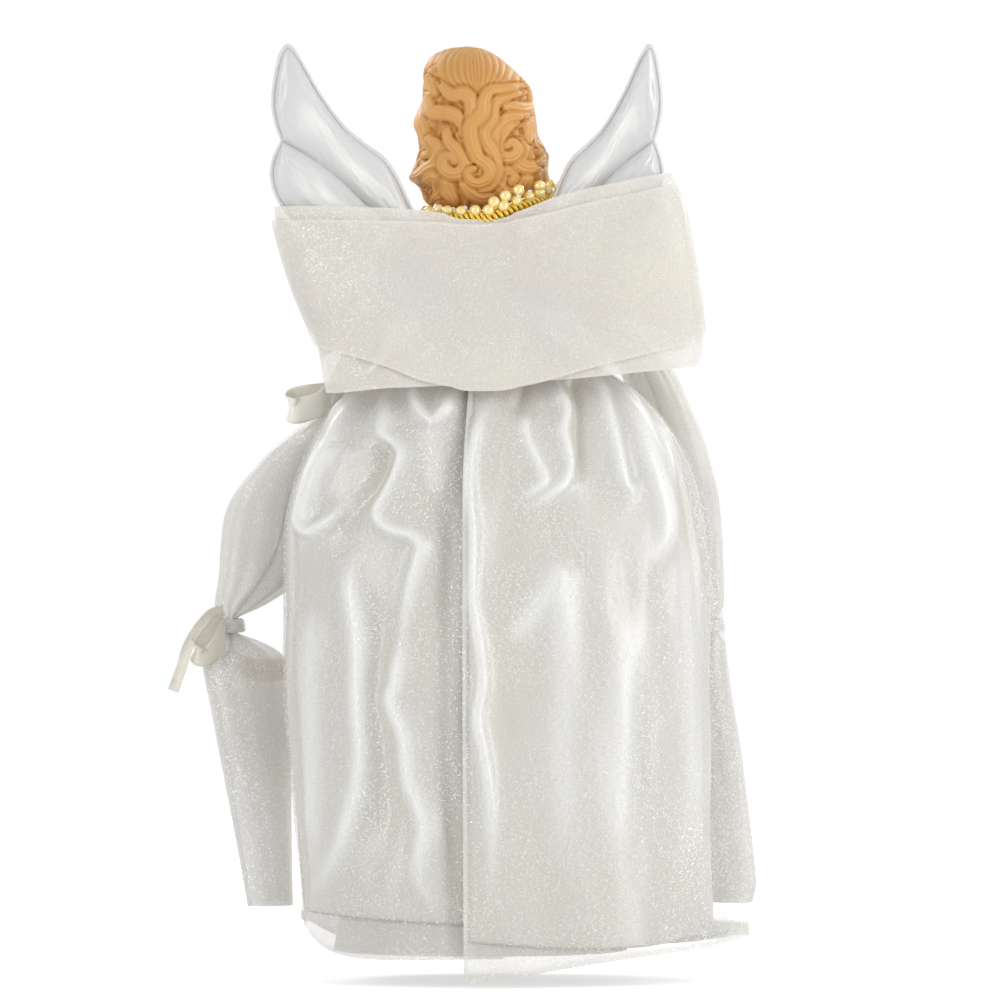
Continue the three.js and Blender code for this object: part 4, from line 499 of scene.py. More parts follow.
# Painted resin and plain surfaces: sizes of their grain, and how much smoother and rougher it makes them
RESIN_GRAIN = Sizes(
    mottle=0.004, mottle_color=(0.62, 0.33, 0.13, 1), mottle_share=0.25, patch=0.002, smoother=0.06,
    rougher=0.1, grain=0.0006, relief=0.00004, relief_share=0.5, scatter=0.04, scatter_reach=0.001,
)
PLAIN_GRAIN = Sizes(patch=3, smoother=0.05, rougher=0.08, relief=0.00003, relief_share=0.5)

# Paint of the figure
SKIN_PAINT = np.array([0.83, 0.56, 0.40, 1])
HAIR_PAINT = np.array([0.77, 0.4, 0.11, 1])
HAIR_RECESS = np.array([0.5, 0.19, 0.015, 1])
LIP_PAINT = np.array([0.62, 0.22, 0.18, 1])
BLUSH_PAINT = np.array([0.80, 0.38, 0.27, 1])
BROW_PAINT = np.array([0.30, 0.15, 0.06, 1])


# Values at a height or share, with smooth steps between the rows
def read_rows(rows, at):
    table = np.array(sorted(rows), float)
    x, y = table[:, 0], table[:, 1:]
    ahead = np.minimum(np.arange(len(x)) + 1, len(x) - 1)
    behind = np.maximum(np.arange(len(x)) - 1, 0)
    slope = (y[ahead] - y[behind]) / (x[ahead] - x[behind])[:, None]
    at = np.asarray(at, float)
    low = np.clip(np.searchsorted(x, at) - 1, 0, len(x) - 2)
    span = x[low + 1] - x[low]
    t = np.clip((at - x[low]) / span, 0, 1)[..., None]
    rise = t * t * (3 - 2 * t)
    bend = (t**3 - 2 * t * t + t) * slope[low] + (t**3 - t * t) * slope[low + 1]
    return np.moveaxis(y[low] * (1 - rise) + y[low + 1] * rise + span[..., None] * bend, -1, 0)


# Smooth step from 0 to 1
def ease(value, start, end):
    t = np.clip((value - start) / (end - start), 0, 1)
    return t * t * (3 - 2 * t)


# Bump of height 1 at 0, flatter on top with a higher power
def bell(value, power=2):
    return np.exp(-(value**power))


# Points of an oval, as sines and cosines round it to a power
def squared(wave, power):
    return np.sign(wave) * np.abs(wave) ** power


# Share of the way down and across at each point of a grid
def share_grid(rows, columns, ringed=False):
    down = np.linspace(0, 1, rows)
    return np.meshgrid(down, np.linspace(0, 1, columns, endpoint=not ringed), indexing="ij")


# Places at even steps along a smooth curve through points
def smooth_path(points, count, ringed=False):
    p = np.array(points, float)
    if ringed:
        p = np.vstack([p[-1], p, p[0], p[1]])
    else:
        p = np.vstack([2 * p[0] - p[1], p, 2 * p[-1] - p[-2]])
    t = np.linspace(0, 1, CURVE_STEPS, endpoint=False)[:, None]
    parts = []
    for a, b, c, d in zip(p, p[1:], p[2:], p[3:]):
        bend = (2 * a - 5 * b + 4 * c - d) * t**2 + (3 * b - a - 3 * c + d) * t**3
        parts.append(b + ((c - a) * t + bend) / 2)
    fine = np.vstack([*parts, p[-2][None]])
    reach = way_along(fine)
    at = np.linspace(0, reach[-1], count, endpoint=not ringed)
    return np.stack([np.interp(at, reach, column) for column in fine.T], axis=1)


# Length of the way from a path's start to each of its points
def way_along(path):
    return np.concatenate([[0], np.cumsum(np.linalg.norm(np.diff(path, axis=0), axis=1))])


# Distance to a path, and the share of the way along it
def nearness(path, across, up):
    nearest = np.full(across.shape, np.inf)
    along = np.zeros(across.shape)
    for i, ((ax, az), (bx, bz)) in enumerate(zip(path, path[1:])):
        dx, dz = bx - ax, bz - az
        t = np.clip(((across - ax) * dx + (up - az) * dz) / (dx * dx + dz * dz), 0, 1)
        away = np.hypot(across - ax - t * dx, up - az - t * dz)
        along = np.where(away < nearest, (i + t) / (len(path) - 1), along)
        nearest = np.minimum(nearest, away)
    return nearest, along


# Slow random waves over two directions, from about -1 to 1
def waves(u, v, seed, count=7, fastest=9.0):
    rng = np.random.default_rng(seed)
    total = np.zeros(np.broadcast(u, v).shape)
    for _ in range(count):
        along, down = rng.uniform(-fastest, fastest, 2)
        total = total + np.sin(TURN * (along * u + down * v) + rng.uniform(0, TURN))
    return total / math.sqrt(count)


# Vectors of length 1
def unit(vectors):
    return vectors / np.maximum(np.linalg.norm(vectors, axis=-1, keepdims=True), TINY)


# Faces of a grid of points, wrapped round on itself where asked
def grid_faces(rows, columns, first=0, around=False, ringed=False, flip=False):
    index = first + np.arange(rows * columns).reshape(rows, columns)
    if around:
        index = np.hstack([index, index[:, :1]])
    if ringed:
        index = np.vstack([index, index[:1]])
    corners = [index[:-1, :-1], index[:-1, 1:], index[1:, 1:], index[1:, :-1]]
    quads = np.stack(corners[::-1] if flip else corners, axis=-1)
    return quads.reshape(-1, 4).tolist()


# Several pieces of points and faces as one
def gather(parts):
    points, faces = [], []
    first = 0
    for piece_points, piece_faces in parts:
        points.append(piece_points)
        faces.extend([[index + first for index in face] for face in piece_faces])
        first += len(piece_points)
    return np.vstack(points), faces


# One sheet through a grid of points
def sheet_parts(grid, around=False):
    return grid.reshape(-1, 3), grid_faces(*grid.shape[:2], around=around)


# Closed skin through rings of points
def skin_parts(rings, ringed=False):
    rows, columns = rings.shape[:2]
    points = rings.reshape(-1, 3)
    faces = grid_faces(rows, columns, around=True, ringed=ringed)
    if not ringed:
        points = np.vstack([points, rings[0].mean(0), rings[-1].mean(0)])
        for middle, row in ((rows * columns, 0), (rows * columns + 1, rows - 1)):
            for j in range(columns):
                faces.append([middle, row * columns + j, row * columns + (j + 1) % columns])
    return points, faces


# Closed skin over the two sides of a sheet, joined along their borders
def two_sided_parts(front, back, around=False):
    rows, columns = front.shape[:2]
    count = rows * columns
    faces = grid_faces(rows, columns, around=around)
    faces += grid_faces(rows, columns, first=count, around=around, flip=True)
    index = np.arange(count).reshape(rows, columns)
    borders = [index[0], index[-1]]
    if around:
        borders = [np.append(border, border[0]) for border in borders]
    else:
        borders += [index[:, 0], index[:, -1]]
    for border in borders:
        faces += [[a, b, b + count, a + count] for a, b in zip(border, border[1:])]
    return np.vstack([front.reshape(-1, 3), back.reshape(-1, 3)]), faces


# Cloth of one thickness through a grid of points
def cloth_parts(grid, thickness, around=False):
    if around:
        along = np.roll(grid, -1, axis=1) - np.roll(grid, 1, axis=1)
    else:
        along = np.gradient(grid, axis=1)
    normal = unit(np.cross(along, np.gradient(grid, axis=0)))
    return two_sided_parts(grid + thickness / 2 * normal, grid - thickness / 2 * normal, around)


# Closed tube along a path: half widths across and upward, and the direction that counts as up
def tube_parts(path, wide, tall=None, sides=12, up=(0, 0, 1), ringed=False):
    path = np.asarray(path, float)
    if ringed:
        ahead = np.roll(path, -1, axis=0) - np.roll(path, 1, axis=0)
    else:
        ahead = np.gradient(path, axis=0)
    ahead = unit(ahead)
    side = unit(np.cross(ahead, np.asarray(up, float)))
    lift = np.cross(side, ahead)
    wide = np.broadcast_to(wide, len(path))
    tall = wide if tall is None else np.broadcast_to(tall, len(path))
    angle = np.linspace(0, TURN, sides, endpoint=False)
    across = wide[:, None, None] * np.cos(angle)[None, :, None] * side[:, None]
    upward = tall[:, None, None] * np.sin(angle)[None, :, None] * lift[:, None]
    return skin_parts(path[:, None] + across + upward, ringed)


# Value or colour at each point of a mesh
def paint_mesh(mesh, key, values):
    values = np.asarray(values, np.float32)
    kind, field = ("FLOAT", "value") if values.ndim == 1 else ("FLOAT_COLOR", "color")
    mesh.attributes.new(key, kind, "POINT").data.foreach_set(field, values.ravel())


# Object from points and faces, with doubles and faces of no area taken out and the sides facing outward
def make_object(name, parts, look, closed=True, attributes=None):
    points, faces = parts
    mesh = bpy.data.meshes.new(name)
    mesh.from_pydata(np.asarray(points).tolist(), [], [list(map(int, face)) for face in faces])
    for key, values in (attributes or {}).items():
        paint_mesh(mesh, key, values)
    work = bmesh.new()
    work.from_mesh(mesh)
    bmesh.ops.remove_doubles(work, verts=work.verts, dist=WELD)
    bmesh.ops.dissolve_degenerate(work, edges=work.edges, dist=WELD)
    if closed:
        bmesh.ops.recalc_face_normals(work, faces=work.faces)
    work.to_mesh(mesh)
    work.free()
    mesh.shade_smooth()
    mesh.materials.append(look)
    thing = bpy.data.objects.new(name, mesh)
    bpy.context.scene.collection.objects.link(thing)
    return thing


# Ride and replaced nodes of a piece; the slot is not used
def place(piece, body, slot, *nodes):
    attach(piece, body)
    if nodes:
        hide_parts(*nodes)
    return piece


# Node tree, and a short way to add nodes to it
class Nodes:
    def __init__(self, tree):
        self.tree = tree

    def add(self, kind, inputs=None, **settings):
        node = self.tree.nodes.new(kind)
        for key, value in settings.items():
            setattr(node, key, value)
        for key, value in (inputs or {}).items():
            self.give(node.inputs[key], value)
        return node

    # Link or constant to a socket
    def give(self, socket, value):
        if isinstance(value, bpy.types.NodeSocket):
            self.tree.links.new(value, socket)
        else:
            socket.default_value = value

    # Whether a ray is of one of two kinds
    def either_ray(self, rays, first, second):
        return self.larger(rays.outputs[first], rays.outputs[second])

    def larger(self, first, second):
        return self.add("ShaderNodeMath", {0: first, 1: second}, operation="MAXIMUM").outputs[0]


# Material with its main shader
class Look(Nodes):
    def __init__(self, name, color, roughness, **sockets):
        self.material = bpy.data.materials.new(name)
        self.material.use_nodes = True
        super().__init__(self.material.node_tree)
        self.shader = self.tree.nodes["Principled BSDF"]
        self.shader.inputs["Base Color"].default_value = (*color, 1)
        self.shader.inputs["Roughness"].default_value = roughness
        for key, value in sockets.items():
            self.shader.inputs[key.replace("_", " ")].default_value = value
        self.place = self.add("ShaderNodeTexCoord").outputs["Object"]

    def feed(self, name, socket):
        self.tree.links.new(socket, self.shader.inputs[name])

    def attribute(self, name, output="Fac"):
        return self.add("ShaderNodeAttribute", attribute_name=name).outputs[output]

    def vector(self, operation, inputs):
        return self.add("ShaderNodeVectorMath", inputs, operation=operation).outputs[0]

    # Noise of one grain size, drawn out along the axes by the stretch
    def noise(self, grain, stretch=(1, 1, 1), detail=3.0):
        mapping = self.add("ShaderNodeMapping", {"Vector": self.place, "Scale": stretch})
        inputs = {"Vector": mapping.outputs["Vector"], "Scale": 1 / grain, "Detail": detail}
        return self.add("ShaderNodeTexNoise", inputs).outputs["Fac"]

    # Value between two limits for a share
    def between(self, share, low, high):
        inputs = {"Value": share, "To Min": low, "To Max": high}
        return self.add("ShaderNodeMapRange", inputs).outputs["Result"]

    def color_mix(self, share, a, b):
        node = self.add("ShaderNodeMix", data_type="RGBA")
        for name, value in (("A_Color", a), ("B_Color", b), ("Factor_Float", share)):
            self.give(next(s for s in node.inputs if s.identifier == name), value)
        return next(s for s in node.outputs if s.identifier == "Result_Color")

    # Shallow relief of the surface from a height
    def relief(self, height, distance, strength):
        bump = self.add("ShaderNodeBump", {"Height": height, "Distance": distance, "Strength": strength})
        self.feed("Normal", bump.outputs["Normal"])


# Colour with a tint for each of its parts
def tinted(color, shares):
    return (*(part * share for part, share in zip(color, shares)), 1)


# Woven satin: close threads with slubs, a slow drift of colour, painted shade in the valleys and a painted
# highlight on the crests
def satin_look(name, color, roughness, sheen, thread=SATIN_GRAIN.thread, shade=SATIN_GRAIN.shade_shares):
    grain = SATIN_GRAIN
    look = Look(name, color, roughness, Sheen_Weight=sheen, Sheen_Roughness=grain.sheen_roughness,
                Specular_IOR_Level=1.0)
    threads = look.noise(thread, grain.thread_stretch, detail=2.0)
    slubs = look.noise(grain.slub, grain.slub_stretch)
    darker = tinted(color, [grain.drift_share] * 3)
    mixed = look.color_mix(look.noise(grain.drift), darker, (*color, 1))
    # Painted shade toward a warmer, darker tint in the valleys, then a painted highlight on the crests
    mixed = look.color_mix(look.attribute("painted_shade"), mixed, tinted(color, shade))
    look.feed("Base Color", look.color_mix(look.attribute("painted_highlight"), mixed, PAINTED_HIGHLIGHT_COLOR))
    look.feed("Roughness", look.between(slubs, roughness - grain.smoother, roughness + grain.rougher))
    look.relief(threads, grain.relief, grain.relief_share)
    return look.material


# Sheer organza: open weave, denser along its hems, with bright flakes that lie at all angles
def organza_look(name, color, cover, flakes, hem_cover=ORGANZA.hem_cover):
    sizes = ORGANZA
    look = Look(name, color, sizes.roughness, Sheen_Weight=sizes.sheen,
                Sheen_Roughness=sizes.sheen_roughness, Specular_IOR_Level=sizes.specular)

    # Flakes: some of the small cells, more of them where the crowd is dense, each tilted its own way
    inputs = {"Vector": look.place, "Scale": 1 / sizes.flake}
    cells = look.add("ShaderNodeTexVoronoi", inputs).outputs["Color"]
    chance = look.add("ShaderNodeSeparateColor", {"Color": cells}).outputs["Red"]
    crowd = look.noise(sizes.crowd, detail=1.0)
    rare = look.between(crowd, 1 + sizes.sparse_share * flakes, 1 - sizes.crowded_share * flakes)
    bright = look.add("ShaderNodeMath", {0: chance, 1: rare}, operation="GREATER_THAN").outputs[0]
    centred = look.vector("SUBTRACT", {0: cells, 1: (0.5, 0.5, 0.5)})
    tilted = look.vector("SCALE", {0: centred, "Scale": sizes.flake_tilt})
    masked = look.vector("MULTIPLY", {0: tilted, 1: bright})
    normal = look.add("ShaderNodeNewGeometry").outputs["Normal"]
    look.feed("Normal", look.vector("NORMALIZE", {0: look.vector("ADD", {0: masked, 1: normal})}))
    look.feed("Roughness", look.between(bright, sizes.roughness, sizes.flake_roughness))
    look.feed("Metallic", look.between(bright, 0.0, sizes.flake_metallic))

    # Colour: a slow change between two tones, a painted highlight on the crests, with the flakes over it
    tone = look.between(look.noise(sizes.tone, detail=1.0), *sizes.tone_shares)
    toned = look.color_mix(tone, tinted(color, sizes.cool_shares), tinted(color, sizes.warm_shares))
    ground = look.color_mix(look.attribute("painted_highlight"), toned, PAINTED_HIGHLIGHT_COLOR)
    look.feed("Base Color", look.color_mix(bright, ground, sizes.flake_color))

    # Cover: the weave and its slow drift, then the hems and the flakes
    drift = look.noise(sizes.drift, sizes.drift_stretch)
    weave = look.noise(sizes.thread, sizes.thread_stretch, detail=1.0)
    thin = look.between(weave, cover - sizes.thread_cover, cover + sizes.thread_cover)
    thick = look.between(drift, -sizes.drift_cover, sizes.drift_cover)
    body = look.add("ShaderNodeMath", {0: thin, 1: thick}, operation="ADD", use_clamp=True).outputs[0]
    edge = {"Factor": look.attribute("hem"), "A": body, "B": hem_cover}
    edged = look.add("ShaderNodeMix", edge, data_type="FLOAT").outputs["Result"]
    flake = look.between(bright, 0.0, sizes.flake_cover)
    look.feed("Alpha", look.larger(edged, flake))
    return look.material


# Moulded resin with paint in the colour attribute
def resin_look(name, color, roughness):
    grain = RESIN_GRAIN
    scatter = {"Subsurface_Weight": grain.scatter, "Subsurface_Scale": grain.scatter_reach}
    look = Look(name, color, roughness, **scatter)
    mottle = look.between(look.noise(grain.mottle), 0.0, grain.mottle_share)
    look.feed("Base Color", look.color_mix(mottle, look.attribute("paint", "Color"), grain.mottle_color))
    patches = look.noise(grain.patch)
    look.feed("Roughness", look.between(patches, roughness - grain.smoother, roughness + grain.rougher))
    look.relief(look.noise(grain.grain), grain.relief, grain.relief_share)
    return look.material


# Plain moulded, turned, cast or drawn surface with a fine grain
def grained_look(
    name, color, darker, roughness, grain, stretch=(1, 1, 1), depth=PLAIN_GRAIN.relief, **sockets
):
    look = Look(name, color, roughness, **sockets)
    fine = look.noise(grain, stretch)
    patches = look.noise(grain * PLAIN_GRAIN.patch)
    smoothest, roughest = roughness - PLAIN_GRAIN.smoother, roughness + PLAIN_GRAIN.rougher
    look.feed("Base Color", look.color_mix(fine, (*darker, 1), (*color, 1)))
    look.feed("Roughness", look.between(patches, smoothest, roughest))
    look.relief(fine, depth, PLAIN_GRAIN.relief_share)
    return look.material


# Satins: colour, roughness, sheen
SATIN = satin_look("ivory_satin", (0.77, 0.76, 0.735), 0.34, 0.1)
WING_SATIN = satin_look("wing_satin", (0.76, 0.76, 0.76), 0.32, 0.1, thread=0.0001, shade=(0.88, 0.88, 0.88))
# Ribbon satin painted lighter than the skirt's, to make up for the shade it sits in under the shawl
LIGHTENED_RIBBON_SATIN = satin_look("ribbon_satin_painted_light", (0.97, 0.95, 0.87), 0.3, 0.1)

# Organzas: colour, cover, share of flakes
OVER = organza_look("skirt_organza", (0.79, 0.785, 0.765), 0.2, 0.1, hem_cover=0.8)
RIBBON_LOOK = organza_look("ribbon_organza", (0.93, 0.91, 0.83), 0.72, 0.04)
SHAWL_LOOK = organza_look("shawl_organza", (0.86, 0.84, 0.785), 0.8, 0.09)
SLEEVE_LOOK = organza_look("sleeve_organza", (0.87, 0.865, 0.84), 0.72, 0.09)
CUFF_LOOK = organza_look("cuff_organza", (0.75, 0.745, 0.73), 0.9, 0.09)

# Rigid pieces and cords: colour, darker colour, roughness, size of the grain
RESIN = resin_look("painted_resin", (0.8, 0.6, 0.4), 0.46)
PEARL = grained_look("pearl_coat", (0.98, 0.81, 0.37), (0.94, 0.71, 0.26), 0.2, 0.003, Metallic=0.3,
                     Coat_Weight=1.0, Coat_Roughness=0.05)
GOLD = grained_look("gold_thread", (0.93, 0.64, 0.09), (0.74, 0.46, 0.04), 0.32, 0.0004, Metallic=0.45)
SPANGLE = grained_look("clear_spangle", (0.92, 0.9, 0.85), (0.8, 0.8, 0.82), 0.12, 0.001, Coat_Weight=0.6)
WIRE = grained_look("drawn_wire", (0.6, 0.61, 0.63), (0.5, 0.5, 0.52), 0.3, 0.0008, (1, 1, 0.1),
                    Metallic=1.0)
EDGING = grained_look("silver_edging", (0.84, 0.85, 0.86), (0.68, 0.69, 0.71), 0.35, 0.0005, Metallic=0.1)
CARD = grained_look("white_card", (0.82, 0.8, 0.75), (0.74, 0.72, 0.66), 0.85, 0.0012, depth=0.0001)
FOAM = grained_look("rigid_foam", (0.84, 0.83, 0.79), (0.72, 0.71, 0.67), 0.9, 0.0009, depth=0.0002)
WOOD = grained_look("turned_wood", (0.62, 0.44, 0.25), (0.44, 0.28, 0.14), 0.6, 0.0016, (1, 1, 0.08))
THREAD = grained_look("stitch_thread", (0.74, 0.75, 0.77), (0.6, 0.61, 0.64), 0.5, 0.0003)

# Materials of the solids that show as they are
SOLID_LOOKS = {
    "support_cone": CARD,
    "torso_core": FOAM,
    "neck_peg": WOOD,
    "wing_anchor": FOAM,
    "left_arm_wire": WIRE,
    "right_arm_wire": WIRE,
}


def dress_solids():
    for name, look in SOLID_LOOKS.items():
        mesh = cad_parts[name].data
        mesh.materials.clear()
        mesh.materials.append(look)


# Relief of the folds on the back of the skirt and the painted highlight along their crests, one side of the
# lap at a time
def back_folds(across, up, left_panel):
    relief, painted_highlight = np.zeros(across.shape), np.zeros(across.shape)
    for panel, path, half, height in FOLDS:
        away, along = nearness(smooth_path(path, FOLD.steps * len(path)), across, up)
        own = left_panel if panel == "left" else 1 - left_panel
        own = own * (ease(along, *FOLD.start_shares) * (1 - ease(along, *FOLD.fade_shares)))
        foot = FOLD.foot_share * bell(away / half / FOLD.foot_width_share)
        relief += own * height * (FOLD.ridge_share * bell(away / half) + foot)
        # Painted highlight along the crest, full on folds that stand high enough, none in sunk creases
        bright = min(max(height, 0) / SKIRT.crest_full, 1)
        painted_highlight = np.maximum(painted_highlight, own * bright * bell(away / half / FOLD.crest_width_share))
    return relief, painted_highlight


# Long folds round the sides and the front, out of the gathers at the waist
def pleats(bearing, fall):
    rng = np.random.default_rng(PLEATS.seed)
    forward = 1 - ease(np.cos(bearing), *PLEATS.back_shares)
    reach = PLEATS.gather_reach * (PLEATS.back_reach + (1 - PLEATS.back_reach) * forward)
    uneven = PLEATS.gathers * bearing + 2 * np.sin(PLEATS.unevenness * bearing)
    relief = PLEATS.gather_height * np.exp(-reach * fall) * np.sin(uneven)
    for k in range(PLEATS.count):
        start, drift, width, strength, end = rng.uniform(-1, 1, 5)
        middle = TURN * (k + start / 2) / PLEATS.count + PLEATS.wander * drift * fall
        middle = middle + PLEATS.wander / 3 * np.sin(TURN * (fall + start))
        half = PLEATS.half * (1 + width / 2) * (PLEATS.waist_share + PLEATS.widening_share * fall)
        turned = np.arctan2(np.sin(bearing - middle), np.cos(bearing - middle)) / half
        fade = ease(fall, PLEATS.fade_from_share + end / 4, PLEATS.fade_to_share + end / 4)
        life = ease(fall, *PLEATS.start_shares) * (1 - PLEATS.fade_share * fade)
        height = PLEATS.height * (1 + strength / 2) * life
        relief = relief + forward * height * bell(turned)
    return relief - forward * PLEATS.sink


# Skirt layer from the waist to its hem, open at the back: its points, the painted shade of its valleys and
# the painted highlight of its crests
def skirt_grid(inset, hem, narrowing):
    down, round_share = share_grid(SKIRT.rows, SKIRT.columns)
    bearing = -SKIRT.lap + (TURN + 2 * SKIRT.lap) * round_share
    foot = read_rows(hem, bearing / TURN)[0]
    up = SKIRT.waist + (foot - SKIRT.waist) * down
    left, right, deep = read_rows(SKIRT_LEVELS, up)
    sine, cosine = np.sin(bearing), np.cos(bearing)
    raised = SKIRT.lap_up * ease(bearing, TURN - SKIRT.lap_ramp, TURN - SKIRT.lap / 2)
    sunk = SKIRT.lap_down * (1 - ease(bearing, SKIRT.lap / 2, SKIRT.lap_ramp))
    narrow = narrowing * ease(-up, -SKIRT.narrow_from, -foot.mean())
    narrow = narrow * ease(-sine, *SKIRT.narrow_side_shares)
    across = np.where(sine > 0, left, right)
    out = raised - sunk - inset
    left_panel = (bearing < math.pi).astype(float)
    on_back = ease(cosine, *SKIRT.back_shares)
    folds, painted_highlight = back_folds(sine * (across + out - narrow), up, left_panel)
    relief = on_back * folds + pleats(bearing, 1 - up / SKIRT.waist)
    slow = waves(round_share * SKIRT.waves_round, down, SKIRT.wave_seed, fastest=SKIRT.wave_rate)
    relief = relief + SKIRT.wave * slow
    grid = np.stack([sine * (across + out + relief - narrow), cosine * (deep + out + relief), up], axis=-1)
    # Painted shade where the relief sinks
    painted_shade = SKIRT.valley_share * (1 - ease(relief, -SKIRT.valley_depth / 4, SKIRT.valley_depth))
    return grid, painted_shade.ravel(), (on_back * painted_highlight).ravel()


# Share of a hem at each point of a grid
def hem_share(grid, width, rows=(), columns=()):
    share = np.zeros(grid.shape[:2])
    edges = [grid[row][None] for row in rows] + [grid[:, column][:, None] for column in columns]
    for edge in edges:
        share = np.maximum(share, np.linalg.norm(grid - edge, axis=2) < width)
    return share.ravel()


def build_skirt():
    grid, painted_shade, painted_highlight = skirt_grid(SKIRT.under_inset, UNDER_HEM, SKIRT.narrowing)
    # Painted shade and painted highlight on both sides of the satin
    tints = {"painted_shade": np.tile(painted_shade, 2), "painted_highlight": np.tile(painted_highlight, 2)}
    under = make_object("satin_skirt", cloth_parts(grid, SKIRT.satin), SATIN, attributes=tints)
    place(under, "body", "satin", "underskirt")

    grid, _, painted_highlight = skirt_grid(SKIRT.over_inset, OVER_HEM, 0.0)
    bearings = np.linspace(-SKIRT.lap, TURN + SKIRT.lap, SKIRT.columns)
    fall = read_rows(UNDER_HEM, bearings / TURN)[0][None] - grid[..., 2]
    free = SKIRT.free_cover_share * ease(fall, -SKIRT.free_blend, SKIRT.free_blend)
    hems = np.maximum(hem_share(grid, HEM.skirt, rows=(-1,), columns=(0, -1)), free.ravel())
    # Painted highlight on the organza's crests, with its hems
    tints = {"hem": hems, "painted_highlight": painted_highlight}
    over = make_object("organza_skirt", sheet_parts(grid), OVER, closed=False, attributes=tints)
    place(over, "body", "organza", "overskirt")


# Shawl layer: squared oval with its front drawn in on the chest
def shawl_grid(inset, top, foot):
    high, wide, _, deep = SHAWL_LEVELS[0]
    power = 2 / SHAWL.squareness
    fine = np.linspace(0, TURN, SHAWL.outline_steps)
    outline = [squared(np.sin(fine), power) * wide, squared(np.cos(fine), power) * deep]
    reach = way_along(np.stack(outline, axis=1))
    down, share = share_grid(SHAWL.rows, SHAWL.columns, ringed=True)
    bearing = np.interp(share * reach[-1], reach, fine)
    sine, cosine = np.sin(bearing), np.cos(bearing)
    edge = read_rows(top, share)[0]
    up = edge + (read_rows(foot, share)[0] - edge) * down
    left, right, back = read_rows(SHAWL_LEVELS, up)
    drawn_in = ease(np.abs(sine) ** power, 0, SHAWL.front_share)
    front = SHAWL.front + (SHAWL.front_wide - SHAWL.front) * drawn_in
    fall = (high - up) / (high - SHAWL_LEVELS[-1][0])
    seed = SHAWL.seed
    broad, slow = SHAWL.ripples
    ripple = waves(share * broad, fall * slow, seed, fastest=3.0) + waves(share * 4, fall, seed + 1) / 4
    slant = np.sin(TURN * (SHAWL.wrinkles * share + SHAWL.wrinkle_slant * fall * np.sign(sine)))
    base = SHAWL.wrinkle_base_share
    uneven = base + (1 - base) * waves(share * 2, fall, seed + 2, fastest=2.0)
    at_side = 1 - ease(np.abs(cosine), *SHAWL.side_shares)
    out = SHAWL.ripple * (ripple - 1) + SHAWL.wrinkle * slant * at_side * uneven
    x = squared(sine, power) * (np.where(sine > 0, left, right) - inset + out / 3)
    y = squared(cosine, power) * (np.where(cosine > 0, back, front) - inset + out)
    return np.stack([x, y, up], axis=-1)


def build_shawl():
    layers = [
        ("outer", 0.0, OUTER_TOP, OUTER_FOOT),
        ("inner", SHAWL.layer_gap, INNER_TOP, INNER_FOOT),
    ]
    for name, inset, top, foot in layers:
        grid = shawl_grid(inset, top, foot)
        hems = {"hem": hem_share(grid, HEM.shawl, rows=(0, -1))}
        parts = sheet_parts(grid, around=True)
        layer = make_object(f"shawl_{name}_layer", parts, SHAWL_LOOK, closed=False, attributes=hems)
        place(layer, "body", "organza", f"shawl_{name}")


# Run of the wing's outline, mirrored and narrowed for the -X side
def wing_run(run, side, count):
    path = smooth_path(run, count)
    out = path[:, 0] if side > 0 else WING.right_share * path[:, 0] + WING.right_shift
    return np.stack([side * out, path[:, 1]], axis=1)


# Run moved square to its own way
def inward(path, distance):
    ahead = unit(np.gradient(path, axis=0))
    return path + distance * np.stack([-ahead[:, 1], ahead[:, 0]], axis=1)


# Closed loop moved toward its middle
def inward_loop(loop, distance):
    ahead = unit(np.roll(loop, -2, axis=0) - np.roll(loop, 2, axis=0))
    normal = np.stack([-ahead[:, 1], ahead[:, 0]], axis=1)
    turn = np.sign(np.sum(normal * (loop.mean(0) - loop), axis=1).sum())
    return loop + turn * distance * normal


# Path in the wing's plane, moved toward the back or the front of the figure
def stand_up(path, depth):
    return np.insert(path, 1, depth, axis=1)


# Lobe between the stitched line and the rim: its places, half thickness, painted highlight and painted shade
def wing_lobe(rim, stitch, seed):
    share = np.linspace(0, 1, WING.across + 1)[None]
    along = np.linspace(0, 1, WING.steps)[:, None]
    flat = stitch[:, None] + (rim - stitch)[:, None] * share[..., None]
    full = np.minimum(1, np.linalg.norm(rim - stitch, axis=1) / WING.full_width)[:, None]
    dome = (1 - (2 * share - 1) ** 2) ** WING.dome_power
    uneven = 1 + WING.uneven_share * waves(along * 1.5, share, seed)
    pucker = np.sin(WING.puckers * along + WING.pucker_slant * share) * np.exp(-WING.pucker_reach * share)
    half = WING.edge + full * (WING.crown * dome * uneven + WING.pucker * pucker)
    before_root = 1 - ease(along, *WING.root_shares)
    # Painted highlight in a wavy band along the middle of the lobe, and painted shade beside the stitched
    # line
    highlight_band = bell((share - WING.luster_share) / WING.luster_width_share)
    wavy = WING.luster_wave_share * waves(along * 2, 2 * share, seed + 1, fastest=3.0)
    highlight_band = highlight_band * ease(along, *WING.notch_shares) * before_root * (WING.luster_base_share + wavy)
    return flat, half, np.clip(highlight_band, 0, 1), bell(share / WING.shade_width_share) * before_root


